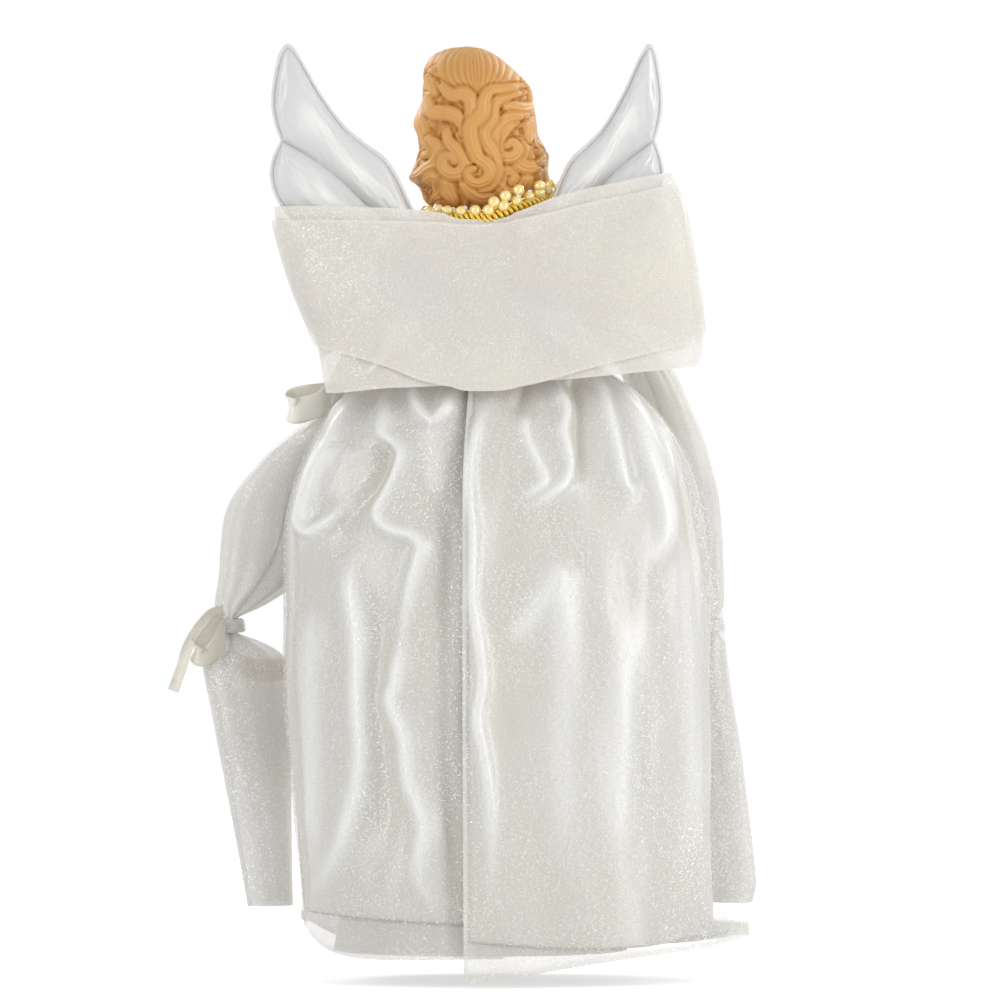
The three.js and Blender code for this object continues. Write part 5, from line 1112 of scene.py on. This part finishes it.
def build_wing(name, side):
    body = f"{name}_wing"
    runs = (WING_UPPER, WING_LOWER, WING_STITCH)
    upper, lower, stitch = (wing_run(run, side, WING.steps) for run in runs)
    rims = [inward(upper, side * WING.inset), inward(lower, -side * WING.inset)]
    lobes = [wing_lobe(rim, stitch, seed) for rim, seed in zip(rims, WING.seeds)]
    flat, half, painted_highlight, painted_shade = (np.concatenate([b[:, :0:-1], a], axis=1) for a, b in zip(*lobes))
    across, up = np.moveaxis(flat, -1, 0)
    sides = [np.stack([across, WING.depth + facing * half, up], axis=-1) for facing in (1, -1)]
    # Painted highlight and painted shade on both faces of the pad
    tints = {"painted_highlight": np.tile(painted_highlight.ravel(), 2), "painted_shade": np.tile(painted_shade.ravel(), 2)}
    pad = make_object(f"{name}_wing_pad", two_sided_parts(*sides), WING_SATIN, attributes=tints)
    place(pad, body, "wing_satin", body)

    loop = inward_loop(np.vstack([upper[:-1], lower[:0:-1]]), WING.wire / 2)
    ring = stand_up(loop, WING.depth)
    edging = tube_parts(ring, WING.wire, sides=10, up=(0, 1, 0), ringed=True)
    place(make_object(f"{name}_wing_edging", edging, EDGING), body, "wire", f"{name}_wing_wire")

    threads = []
    places = wing_run(WING_STITCH, side, 2 * WING.stitches + 1)
    share = np.linspace(0, 1, WING.stitch_points)
    bow = WING.edge + WING.thread * np.sin(math.pi * share)
    for facing in (1, -1):
        for start, end in list(zip(places, places[1:]))[1:-2:2]:
            path = stand_up(start + (end - start) * share[:, None], WING.depth + facing * bow)
            threads.append(tube_parts(path, WING.thread, sides=6, up=(0, 1, 0)))
    place(make_object(f"{name}_wing_stitches", gather(threads), THREAD), body, "wing_satin")


# One lock over what lies under it: soft strands side by side, with a shallow parting beyond its edge
def add_lock(height, path, half, across, up, weight):
    away, along = nearness(smooth_path(path, LOCK.steps * len(path)), across, up)
    start, span = LOCK.taper_shares
    taper = np.sin(math.pi * np.clip(start + span * along, 0, 1)) ** LOCK.taper_power
    t = away / (LOCK.width_share * half * (LOCK.tip_share + (1 - LOCK.tip_share) * taper))
    grooves = 0.5 - 0.5 * np.cos(LOCK.strands * math.pi * t)
    grooves = LOCK.groove * grooves * bell(t / LOCK.groove_share, 6)
    rounded = LOCK.height * (1 - LOCK.rounding_share * t * t) - grooves
    lock = LOCK.ground + rounded * bell(t / LOCK.dome_share, 4)
    beside = bell((t - LOCK.parting_at_share) / LOCK.parting_width_share)
    under = height - LOCK.parting * beside
    share = weight * ease(along, *LOCK.start_shares) * (1 - ease(t, *LOCK.edge_shares))
    return lock * share + (weight * under + (1 - weight) * height) * (1 - share)


# How far the combed hair between the locks stands out
def combed(back, x, y, up):
    behind, beside = COMBED.back, COMBED.sides
    wavy = x + behind.sway * np.sin(TURN * up / behind.wave + x / behind.slant)
    swayed = y + beside.sway * np.sin(TURN * up / beside.wave)
    height = back * np.sin(TURN * wavy / behind.spacing)
    height = height + (1 - back) * np.sin(TURN * swayed / beside.spacing)
    return LOCK.ground + COMBED.height * height


# The crown's strands over the hair
def add_crown(height, back, x, up):
    high, low, middle = CROWN.high, CROWN.low, CROWN.middle
    turned = np.arctan2(x - low[0], up - low[1]) + np.arctan2(x - high[0], high[1] - up)
    spot = ((x - middle[0]) / CROWN.half_across) ** 2 + ((up - middle[1]) / CROWN.half_up) ** 2
    share = back * (1 - ease(spot, *CROWN.edge_shares))
    swayed = CROWN.strands * turned / 2 + CROWN.sway * np.sin(4 * turned)
    return height * (1 - share) + share * (LOCK.ground + CROWN.groove * np.abs(np.cos(swayed)))


# How far the features stand out of the face
def face_relief(x, up):
    relief = np.full(x.shape, -FACE.set_back)
    mirrored = [(-across, *rest) for across, *rest in SIDE_BUMPS]
    for across, rise, half_across, half_up, bump in [*MIDDLE_BUMPS, *SIDE_BUMPS, *mirrored]:
        spread = ((x - FACE.across - across) / half_across) ** 2 + ((up - rise) / half_up) ** 2
        relief = relief + bump * np.exp(-spread)
    return relief


# How far the moulded hair and face stand out of the plain head, and how much of each place is face
def head_relief(bearing, x, y, up):
    back = ease(np.cos(bearing), *HEAD.back_shares)
    beside = ease(np.abs(np.sin(bearing)), *HEAD.side_shares)
    before = ease(-np.cos(bearing), *HEAD.front_shares)
    height = combed(back, x, y, up)
    seen = 1 - COMBED.hidden_share * back * (np.abs(x) < COMBED.hidden_across)
    for path, half in SIDE_LOCKS:
        height = add_lock(height, path, half, y, up, beside * seen)
    for path, half in FRONT_LOCKS:
        height = add_lock(height, path, half, np.abs(x - FACE.across), up, before)
    height = add_crown(height, back, x, up)
    for path, half in BACK_LOCKS:
        height = add_lock(height, path, half, x, up, back)
    oval = ((x - FACE.across) / FACE.half_across) ** 2 + ((up - FACE.up) / FACE.half_up) ** 2
    face = before * (1 - ease(oval, 1 - FACE.edge_share, 1 + FACE.edge_share / 3))
    return height * (1 - face) + face_relief(x, up) * face, face, height


# Places on the head, how much of each is face, and the height of the hair there
def head_grid(bearing, up):
    left, right, back, front = read_rows(HEAD_LEVELS, up)
    sine, cosine = np.sin(bearing), np.cos(bearing)
    x = sine * (np.where(sine > 0, left, right) - HEAD.sink)
    y = cosine * (np.where(cosine > 0, back, front) - HEAD.sink)
    lean = HEAD.lean * ease(up, HEAD.lean_from, HEAD.top)
    out, face, hair = head_relief(bearing, x + lean, y, up)
    reach = np.maximum(np.hypot(x, y), WELD)
    scale = (reach + out * ease(reach, *HEAD.top_fade)) / reach
    return np.stack([x * scale + lean, y * scale, up], axis=-1), face, hair


# Paint of the head: hair, darker between the locks, and the face with its cheeks and lips
def head_paint(x, up, face, hair):
    shade = ease(hair, *COMBED.shade_heights)[..., None]
    paint = HAIR_RECESS * (1 - shade) + HAIR_PAINT * shade
    cheek = ((x - BLUSH.across) / BLUSH.half_across) ** 2 + ((up - BLUSH.up) / BLUSH.half_up) ** 2
    blush = BLUSH.share * np.exp(-cheek)[..., None]
    skin = SKIN_PAINT * (1 - blush) + BLUSH_PAINT * blush
    mouth = (x / LIPS.half_across) ** 4 + ((up - LIPS.up) / LIPS.half_up) ** 4
    lips = np.exp(-mouth)[..., None]
    skin = skin * (1 - lips) + LIP_PAINT * lips
    paint = paint * (1 - face[..., None]) + skin * face[..., None]
    return np.vstack([paint.reshape(-1, 4), paint[0].mean(0), paint[-1].mean(0)])


# Brow or lash on one side of the face
def build_face_line(name, side, across, rise, half_width, arc, drop, thick):
    t = np.linspace(-1, 1, FACE.line_steps)
    out = FACE.across + side * (across + half_width * t)
    bearings = math.pi - np.arcsin(np.clip(out / FACE.reach, -1, 1))
    path, _, _ = head_grid(bearings, rise + arc * (1 - t * t) - drop * t)
    points, faces = tube_parts(path, thick * np.sqrt(np.clip(1 - t**2, FACE.line_end_share, 1)), sides=8)
    paint = {"paint": np.tile(BROW_PAINT, (len(points), 1))}
    place(make_object(name, (points, faces), RESIN, attributes=paint), "body", "hair")


def build_head():
    share = np.linspace(0, 1, HEAD.rows)
    closer = 0.25 * (1 - np.cos(math.pi * share)) + 0.5 * share
    level = HEAD.low + (HEAD.top - HEAD.low) * closer
    up, bearing = np.meshgrid(level, np.linspace(0, TURN, HEAD.columns, endpoint=False), indexing="ij")
    grid, face, hair = head_grid(bearing, up)
    paint = {"paint": head_paint(np.abs(grid[..., 0] - FACE.across), up, face, hair)}
    place(make_object("head_moulding", skin_parts(grid), RESIN, attributes=paint), "body", "hair", "head")
    for side, name in ((1, "left"), (-1, "right")):
        for part, *sizes in FACE_LINES:
            build_face_line(f"{name}_{part}", side, *sizes)


# Place on the neckline ring at a bearing
def neck_place(bearing):
    sine, cosine = np.sin(bearing), np.cos(bearing)
    deep = cosine * np.where(cosine > 0, NECK.back, NECK.front)
    rise = np.where(sine < 0, -2 * NECK.side_rise * sine, 0)
    drop = np.where(cosine < 0, NECK.front_drop * cosine, 0)
    return np.stack([NECK.across + sine * NECK.half_width, deep, NECK.height + rise + drop], axis=-1)


# Bead with a hole through it along an axis
def bead_parts(middle, radius, axis):
    axis = unit(np.asarray(axis, float))
    side = unit(np.cross(axis, BEAD.side))
    lift = np.cross(axis, side)
    angle = np.linspace(-BEAD.open_share, BEAD.open_share, BEAD.rows) * math.pi / 2
    along, out = radius * np.sin(angle), radius * np.cos(angle)
    along = np.concatenate([[BEAD.depth_share * along[0]], along, [BEAD.depth_share * along[-1]]])
    out = np.concatenate([[BEAD.hole_share * out[0]], out, [BEAD.hole_share * out[-1]]])
    angle = np.linspace(0, TURN, BEAD.sides, endpoint=False)
    around = np.cos(angle)[:, None] * side + np.sin(angle)[:, None] * lift
    return skin_parts(middle + along[:, None, None] * axis + out[:, None, None] * around[None])


# Pearls on their string, and those of the short second row
def build_pearls(rng):
    middles = neck_place(np.linspace(0, TURN, NECK.pearls, endpoint=False))
    ahead = np.roll(middles, -1, axis=0) - np.roll(middles, 1, axis=0)
    middles = middles + rng.uniform(-1, 1, middles.shape) * NECK.jitter
    parts = [bead_parts(middle, NECK.pearl, axis) for middle, axis in zip(middles, ahead)]
    for degrees, rise in SECOND_ROW:
        spot = neck_place(np.array(math.radians(degrees))) + (0, NECK.second_row_out, rise)
        parts.append(bead_parts(spot, NECK.pearl, NECK.second_row_axis))
    parts.append(tube_parts(middles, NECK.string, sides=6, ringed=True))
    place(make_object("pearl_strand", gather(parts), PEARL), "body", "pearl", "neck_pearls")


# Gold cords twisted round each other under the pearls
def build_braid():
    bearing = np.linspace(0, TURN, NECK.braid_steps, endpoint=False)
    outward = np.stack([np.sin(bearing), np.cos(bearing), np.zeros(len(bearing))], axis=1)
    base = neck_place(bearing) - (0, 0, NECK.braid_drop) - NECK.braid_in * outward
    cords = []
    for k in range(NECK.cords):
        phase = (NECK.twists * bearing + TURN * k / NECK.cords)[:, None]
        path = base + NECK.braid * np.cos(phase) * outward
        path = path + NECK.braid_tall_share * NECK.braid * np.sin(phase) * (0, 0, 1)
        cords.append(tube_parts(path, NECK.strand, sides=8, ringed=True))
    place(make_object("gold_braid_cord", gather(cords), GOLD), "body", "gold_braid", "neck_braid")


# Small clear discs among the pearls
def build_spangles(rng):
    uneven, jitter, tilt = SPANGLES.uneven_share, SPANGLES.jitter, SPANGLES.tilt
    discs = []
    for k in range(SPANGLES.count):
        bearing = TURN * (k + rng.uniform(-uneven, uneven)) / SPANGLES.count
        spot = neck_place(np.array(bearing)) + rng.uniform(-1, 1, 3) * jitter + (0, 0, SPANGLES.rise)
        facing = unit(np.array([math.sin(bearing), math.cos(bearing), 0]) + rng.uniform(-tilt, tilt, 3))
        path = spot + np.array(SPANGLES.stations)[:, None] * facing
        sizes = SPANGLES.radius * np.array(SPANGLES.rim_shares)
        discs.append(tube_parts(path, sizes, sides=8, up=SPANGLES.up))
    place(make_object("neck_spangles", gather(discs), SPANGLE), "body", "pearl")


def build_neckline():
    rng = np.random.default_rng(NECK.seed)
    build_pearls(rng)
    build_braid()
    build_spangles(rng)


# Places across and deep in the slanted section of a sleeve, for places along and across that section
def slanted(side, u, v):
    return (
        side * (SLEEVE.along_across * u + SLEEVE.along_deep * v),
        SLEEVE.along_deep * u - SLEEVE.along_across * v,
    )


# Points of a sleeve or cuff, from the share of the way down, the angle round it and its fullness there
def sleeve_grid(levels, down, angle, side, fullness):
    up = levels[0][0] + (levels[-1][0] - levels[0][0]) * down
    across, deep, along, thick = read_rows(levels, up)
    x, y = slanted(side, np.cos(angle) * along * fullness, np.sin(angle) * thick * fullness)
    return np.stack([across + x, deep + y, up], axis=-1)


def build_sleeve(name, side, body):
    down, part = share_grid(SLEEVE.rows, SLEEVE.columns)
    angle = SLEEVE.seam_at + part * (TURN + SLEEVE.seam_lap)
    low = SLEEVE.gather_low_share
    tight = low + (1 - low) * np.abs(2 * down - 1) ** 3
    wave = (1 - np.cos(SLEEVE.gathers * angle + 3 * np.sin(2 * angle) + 4 * down)) / 2
    soft = 0.5 + 0.5 * waves(part * 2, down * 2, SLEEVE.seed + side, fastest=2.5)
    even = SLEEVE.even_share
    gathered = SLEEVE.gather_depth_share * tight * wave * (even + (1 - even) * soft)
    hollow = SLEEVE.soft_depth_share * soft * (1 - tight)
    grid = sleeve_grid(SLEEVES[name], down, angle, side, 1 - gathered - hollow - SLEEVE.seam_share * part)
    hems = {"hem": np.zeros(down.size)}
    parts = sheet_parts(grid)
    sleeve = make_object(f"{name}_sleeve_puff", parts, SLEEVE_LOOK, closed=False, attributes=hems)
    place(sleeve, body, "organza", f"{name}_sleeve")


def build_cuff(name, side, body):
    down, part = share_grid(CUFF.rows, CUFF.columns)
    angle = CUFF.opening / 2 + (TURN - CUFF.opening) * part + CUFF.open_to
    wave = (1 - np.cos(CUFF.gathers * angle + 2 * np.sin(angle + 3 * down))) / 2
    low = CUFF.gather_low_share
    gathered = CUFF.gather_depth_share * (low + (1 - low) * np.exp(-CUFF.gather_reach * down)) * wave
    soft = CUFF.soft_depth_share * waves(part, down, CUFF.seed + side, fastest=1.6)
    grid = sleeve_grid(CUFFS[name], down, angle, side, 1 - gathered + soft)
    hems = {"hem": hem_share(grid, HEM.cuff, rows=(-1,), columns=(0, -1))}
    cuff = make_object(f"{name}_hanging_cuff", sheet_parts(grid), CUFF_LOOK, closed=False, attributes=hems)
    place(cuff, body, "organza", f"{name}_cuff")


# Ribbon wound round the elbow
def build_tie(name, body):
    _, across, deep, _, _ = CUFFS[name][0]
    share = np.linspace(0, 1, TIE.wrap_steps * TIE.wraps)
    turn = TURN * TIE.wraps * share
    reach = TIE.ring * (1 + TIE.wobble_share * np.sin(TIE.wobbles * turn))
    up = TIE.height + TIE.rise * (share - 0.5)
    path = np.stack([across + reach * np.cos(turn), deep + reach * np.sin(turn), up], axis=1)
    wrap = make_object(f"{name}_elbow_wrap", tube_parts(path, TIE.tube, sides=10), SATIN)
    place(wrap, body, "satin", f"{name}_tie")


# Palm, fingers and thumb beyond the end of a path
def hand_parts(path, side):
    ahead = unit(path[-1] - path[-4])
    across = unit(np.cross(ahead, (0, 0, 1)))
    lift = np.cross(across, ahead)
    start = path[-1] - HAND.wrist_share * HAND.palm * ahead
    t = np.linspace(0, 1, HAND.stations)
    palm = start + t[:, None] * HAND.palm * ahead
    begin, span = HAND.swell_shares
    swell = np.sin(math.pi * np.clip(begin + span * t, 0, 1)) ** 0.5
    tip = np.sqrt(np.clip(1 - (t * HAND.tip_share) ** HAND.tip_power, HAND.least_tip_share, 1))
    parts = [tube_parts(palm, HAND.palm_thick * swell, HAND.palm_half * swell, sides=HAND.palm_sides)]
    for k, length in enumerate(HAND.finger_shares):
        off_middle = (len(HAND.finger_shares) - 1) / 2 - k
        root = start + HAND.knuckle_share * HAND.palm * ahead + off_middle * HAND.finger_gap * lift
        spread = unit(ahead + HAND.finger_spread * off_middle * lift)
        curl = HAND.bend * t[:, None] ** 2 * across * -side
        finger = root + t[:, None] * HAND.finger * length * spread + curl
        size = HAND.finger_half * tip * (HAND.finger_base_share - HAND.taper_share * t)
        parts.append(tube_parts(finger, size, sides=HAND.sides))
    root = start + HAND.thumb_along_share * HAND.palm * ahead
    root = root + HAND.thumb_out_share * HAND.palm_half * lift
    thumb = root + t[:, None] * HAND.thumb * unit(ahead + HAND.thumb_spread * lift)
    size = HAND.thumb_half * tip * (HAND.thumb_base_share - HAND.taper_share * t)
    return [*parts, tube_parts(thumb, size, sides=HAND.sides)]


def build_forearm(name, side, body):
    path = smooth_path(FOREARMS[name], FOREARM.stations)
    at = np.linspace(0, 1, FOREARM.stations)
    spots = np.linspace(0, 1, len(FOREARM.tall))
    tall, wide = (np.interp(at, spots, sizes) for sizes in (FOREARM.tall, FOREARM.wide))
    parts = [tube_parts(path, wide, tall, sides=FOREARM.sides), *hand_parts(path, side)]
    arm = make_object(f"{name}_hand_and_forearm", gather(parts), RESIN)
    fuse = arm.modifiers.new("fuse", "REMESH")
    fuse.mode = "VOXEL"
    fuse.voxel_size = FOREARM.voxel
    fuse.use_smooth_shade = True
    relax = arm.modifiers.new("relax", "SMOOTH")
    relax.factor = FOREARM.relax
    relax.iterations = FOREARM.relax_rounds
    apply_modifiers(arm)
    paint_mesh(arm.data, "paint", np.tile(SKIN_PAINT, (len(arm.data.vertices), 1)))
    place(arm, body, "skin", f"{name}_forearm")


def apply_modifiers(thing):
    bpy.context.view_layer.update()
    shaped = thing.evaluated_get(bpy.context.evaluated_depsgraph_get())
    mesh = bpy.data.meshes.new_from_object(shaped)
    thing.modifiers.clear()
    thing.data = mesh
    mesh.shade_smooth()


def build_arm(name, side):
    body = f"{name}_arm"
    build_sleeve(name, side, body)
    build_cuff(name, side, body)
    build_tie(name, body)
    build_forearm(name, side, body)


# Ribbon along a path, upright, slightly cupped and creased
def ribbon(name, path, width, look, ringed=False, flare=0.0):
    line = smooth_path(path, RIBBON.steps, ringed)
    if ringed:
        line = np.vstack([line, line[:1]])
    along = np.linspace(0, 1, len(line))
    share = np.linspace(-1, 1, RIBBON.columns)
    ahead = unit(np.gradient(line, axis=0))
    up = np.array([0, 0, 1.0])
    up = unit(up - (ahead @ up)[:, None] * ahead)
    out = np.cross(ahead, up)
    half = width / 2 * (1 + flare * np.sin(math.pi * along) ** 2)
    cup = RIBBON.cup * (1 - share**2)
    crease = RIBBON.cup / 2 * np.sin(TURN * RIBBON.creases * along)[:, None] * share[None] ** 2
    grid = line[:, None] + half[:, None, None] * share[None, :, None] * up[:, None]
    grid = grid + (cup[None] + crease)[..., None] * out[:, None]
    return make_object(name, cloth_parts(grid, RIBBON.thick), look)


def build_bows():
    body = "left_arm"
    loop = ribbon("left_elbow_bow_loop", ELBOW_LOOP, RIBBON.loop, RIBBON_LOOK, True)
    tail = ribbon("left_elbow_bow_tail", ELBOW_TAIL, RIBBON.tail, RIBBON_LOOK)
    flare = RIBBON.upper_flare_share
    upper = ribbon("left_upper_bow_loop", UPPER_LOOP, RIBBON.upper, LIGHTENED_RIBBON_SATIN, True, flare)
    place(loop, body, "organza", "left_tie_loop")
    place(tail, body, "organza", "left_tie_tail")
    place(upper, body, "satin", "left_upper_loop")

    across, deep, _, _ = read_rows(SLEEVES["left"], UPPER_TIE.height)
    turn = np.linspace(0, TURN, UPPER_TIE.steps, endpoint=False)
    x, y = slanted(1, UPPER_TIE.along * np.cos(turn), UPPER_TIE.thick * np.sin(turn))
    up = UPPER_TIE.height + UPPER_TIE.wave * np.sin(3 * turn)
    path = np.stack([across + x, deep + y, up], axis=1)
    ring = tube_parts(path, UPPER_TIE.tube, UPPER_TIE.tall, sides=12, ringed=True)
    place(make_object("left_upper_wrap", ring, LIGHTENED_RIBBON_SATIN), body, "satin", "left_upper_tie")


# Points of an oval loft, moved outward
def loft_grid(levels, up, angle, out):
    half_width, half_depth = read_rows(levels, up)
    return np.stack([(half_width + out) * np.cos(angle), (half_depth + out) * np.sin(angle), up], axis=-1)


# Band of satin on the torso, pleated along its height or round it
def torso_band(name, sizes, node, upright):
    down, part = share_grid(TORSO.rows, TORSO.columns, ringed=True)
    up = sizes.high + (sizes.low - sizes.high) * down
    out = sizes.out + np.sin(sizes.pleats * TURN * (part if upright else down)) * sizes.pleat
    grid = loft_grid(TORSO_LEVELS, up, part * TURN, out)
    band = make_object(name, cloth_parts(grid, SKIRT.satin, around=True), SATIN)
    return place(band, "body", "satin", node)


def build_torso():
    bodice = torso_band("bodice_satin", BODICE, "bodice", True)
    torso_band("waist_sash", BAND, "waistband", False)

    down, part = share_grid(PLATE.rows, PLATE.columns, ringed=True)
    low, high = PLATE_LEVELS[0][0], PLATE_LEVELS[-1][0]
    up = low + (high - low) * down
    collar = PLATE.collar * bell((up - PLATE.collar_height) / PLATE.collar_width)
    collar = collar * np.clip(-np.sin(part * TURN), 0, 1)
    points, faces = skin_parts(loft_grid(PLATE_LEVELS, up, part * TURN, collar))
    paint = {"paint": np.tile(SKIN_PAINT, (len(points), 1))}
    plate = make_object("shoulder_moulding", (points, faces), RESIN, attributes=paint)
    place(plate, "body", "skin", "shoulder_plate")


# Plain white floor that keeps the figure's shadow
def build_floor():
    look = bpy.data.materials.new("white_floor")
    look.use_nodes = True
    look.node_tree.nodes.clear()
    nodes = Nodes(look.node_tree)
    seen = nodes.either_ray(nodes.add("ShaderNodeLightPath"), "Is Camera Ray", "Is Glossy Ray")
    lift = nodes.add("ShaderNodeMath", {0: seen, 1: STAGE.floor_lift}, operation="MULTIPLY")
    glow = nodes.add("ShaderNodeEmission", {"Strength": lift.outputs[0]})
    diffuse = nodes.add("ShaderNodeBsdfDiffuse", {"Color": (*[STAGE.floor_color] * 3, 1)})
    total = nodes.add("ShaderNodeAddShader", {0: diffuse.outputs[0], 1: glow.outputs[0]})
    nodes.add("ShaderNodeOutputMaterial", {"Surface": total.outputs[0]})
    half = STAGE.floor / 2
    corners = [(-half, -half), (half, -half), (half, half), (-half, half)]
    points = [(x, y, -STAGE.under) for x, y in corners]
    make_object("floor", (points, [[0, 1, 2, 3]]), look, closed=False)


# White room: full white where it is seen or mirrored, softer as light
def build_room():
    world = bpy.data.worlds.new("white_room")
    bpy.context.scene.world = world
    world.use_nodes = True
    nodes = Nodes(world.node_tree)
    background = world.node_tree.nodes["Background"]
    background.inputs["Color"].default_value = (1, 1, 1, 1)
    rays = nodes.add("ShaderNodeLightPath")
    seen = nodes.either_ray(rays, "Is Camera Ray", "Is Glossy Ray")
    clear = nodes.larger(seen, rays.outputs["Is Transmission Ray"])
    inputs = {"Value": clear, "To Min": STAGE.ambient, "To Max": 1.0}
    strength = nodes.add("ShaderNodeMapRange", inputs)
    nodes.give(background.inputs["Strength"], strength.outputs["Result"])


def build_lamps():
    aim = Vector((VIEW.across, 0, VIEW.up))
    for name, spot, width, height, power in LAMPS:
        lamp = bpy.data.lights.new(name, "AREA")
        lamp.shape = "RECTANGLE"
        lamp.size = width
        lamp.size_y = height
        lamp.energy = power
        thing = bpy.data.objects.new(name, lamp)
        thing.location = spot
        thing.rotation_euler = (aim - Vector(spot)).to_track_quat("-Z", "Y").to_euler()
        bpy.context.scene.collection.objects.link(thing)


def build_camera():
    lens = bpy.data.cameras.new("photo_view")
    lens.sensor_width = VIEW.sensor_mm
    lens.lens = lens.sensor_width * VIEW.distance / VIEW.width
    lens.clip_end = VIEW.clip
    camera = bpy.data.objects.new("photo_view", lens)
    camera.location = (VIEW.across, VIEW.distance, VIEW.up)
    camera.rotation_euler = (math.pi / 2, 0, math.pi)
    bpy.context.scene.collection.objects.link(camera)
    bpy.context.scene.camera = camera


build_camera()
build_floor()
build_room()
build_lamps()
dress_solids()
build_torso()
build_head()
build_neckline()
build_skirt()
build_shawl()
for side_name, side in (("left", 1), ("right", -1)):
    build_wing(side_name, side)
    build_arm(side_name, side)
build_bows()
bpy.context.scene.view_settings.view_transform = "Standard"
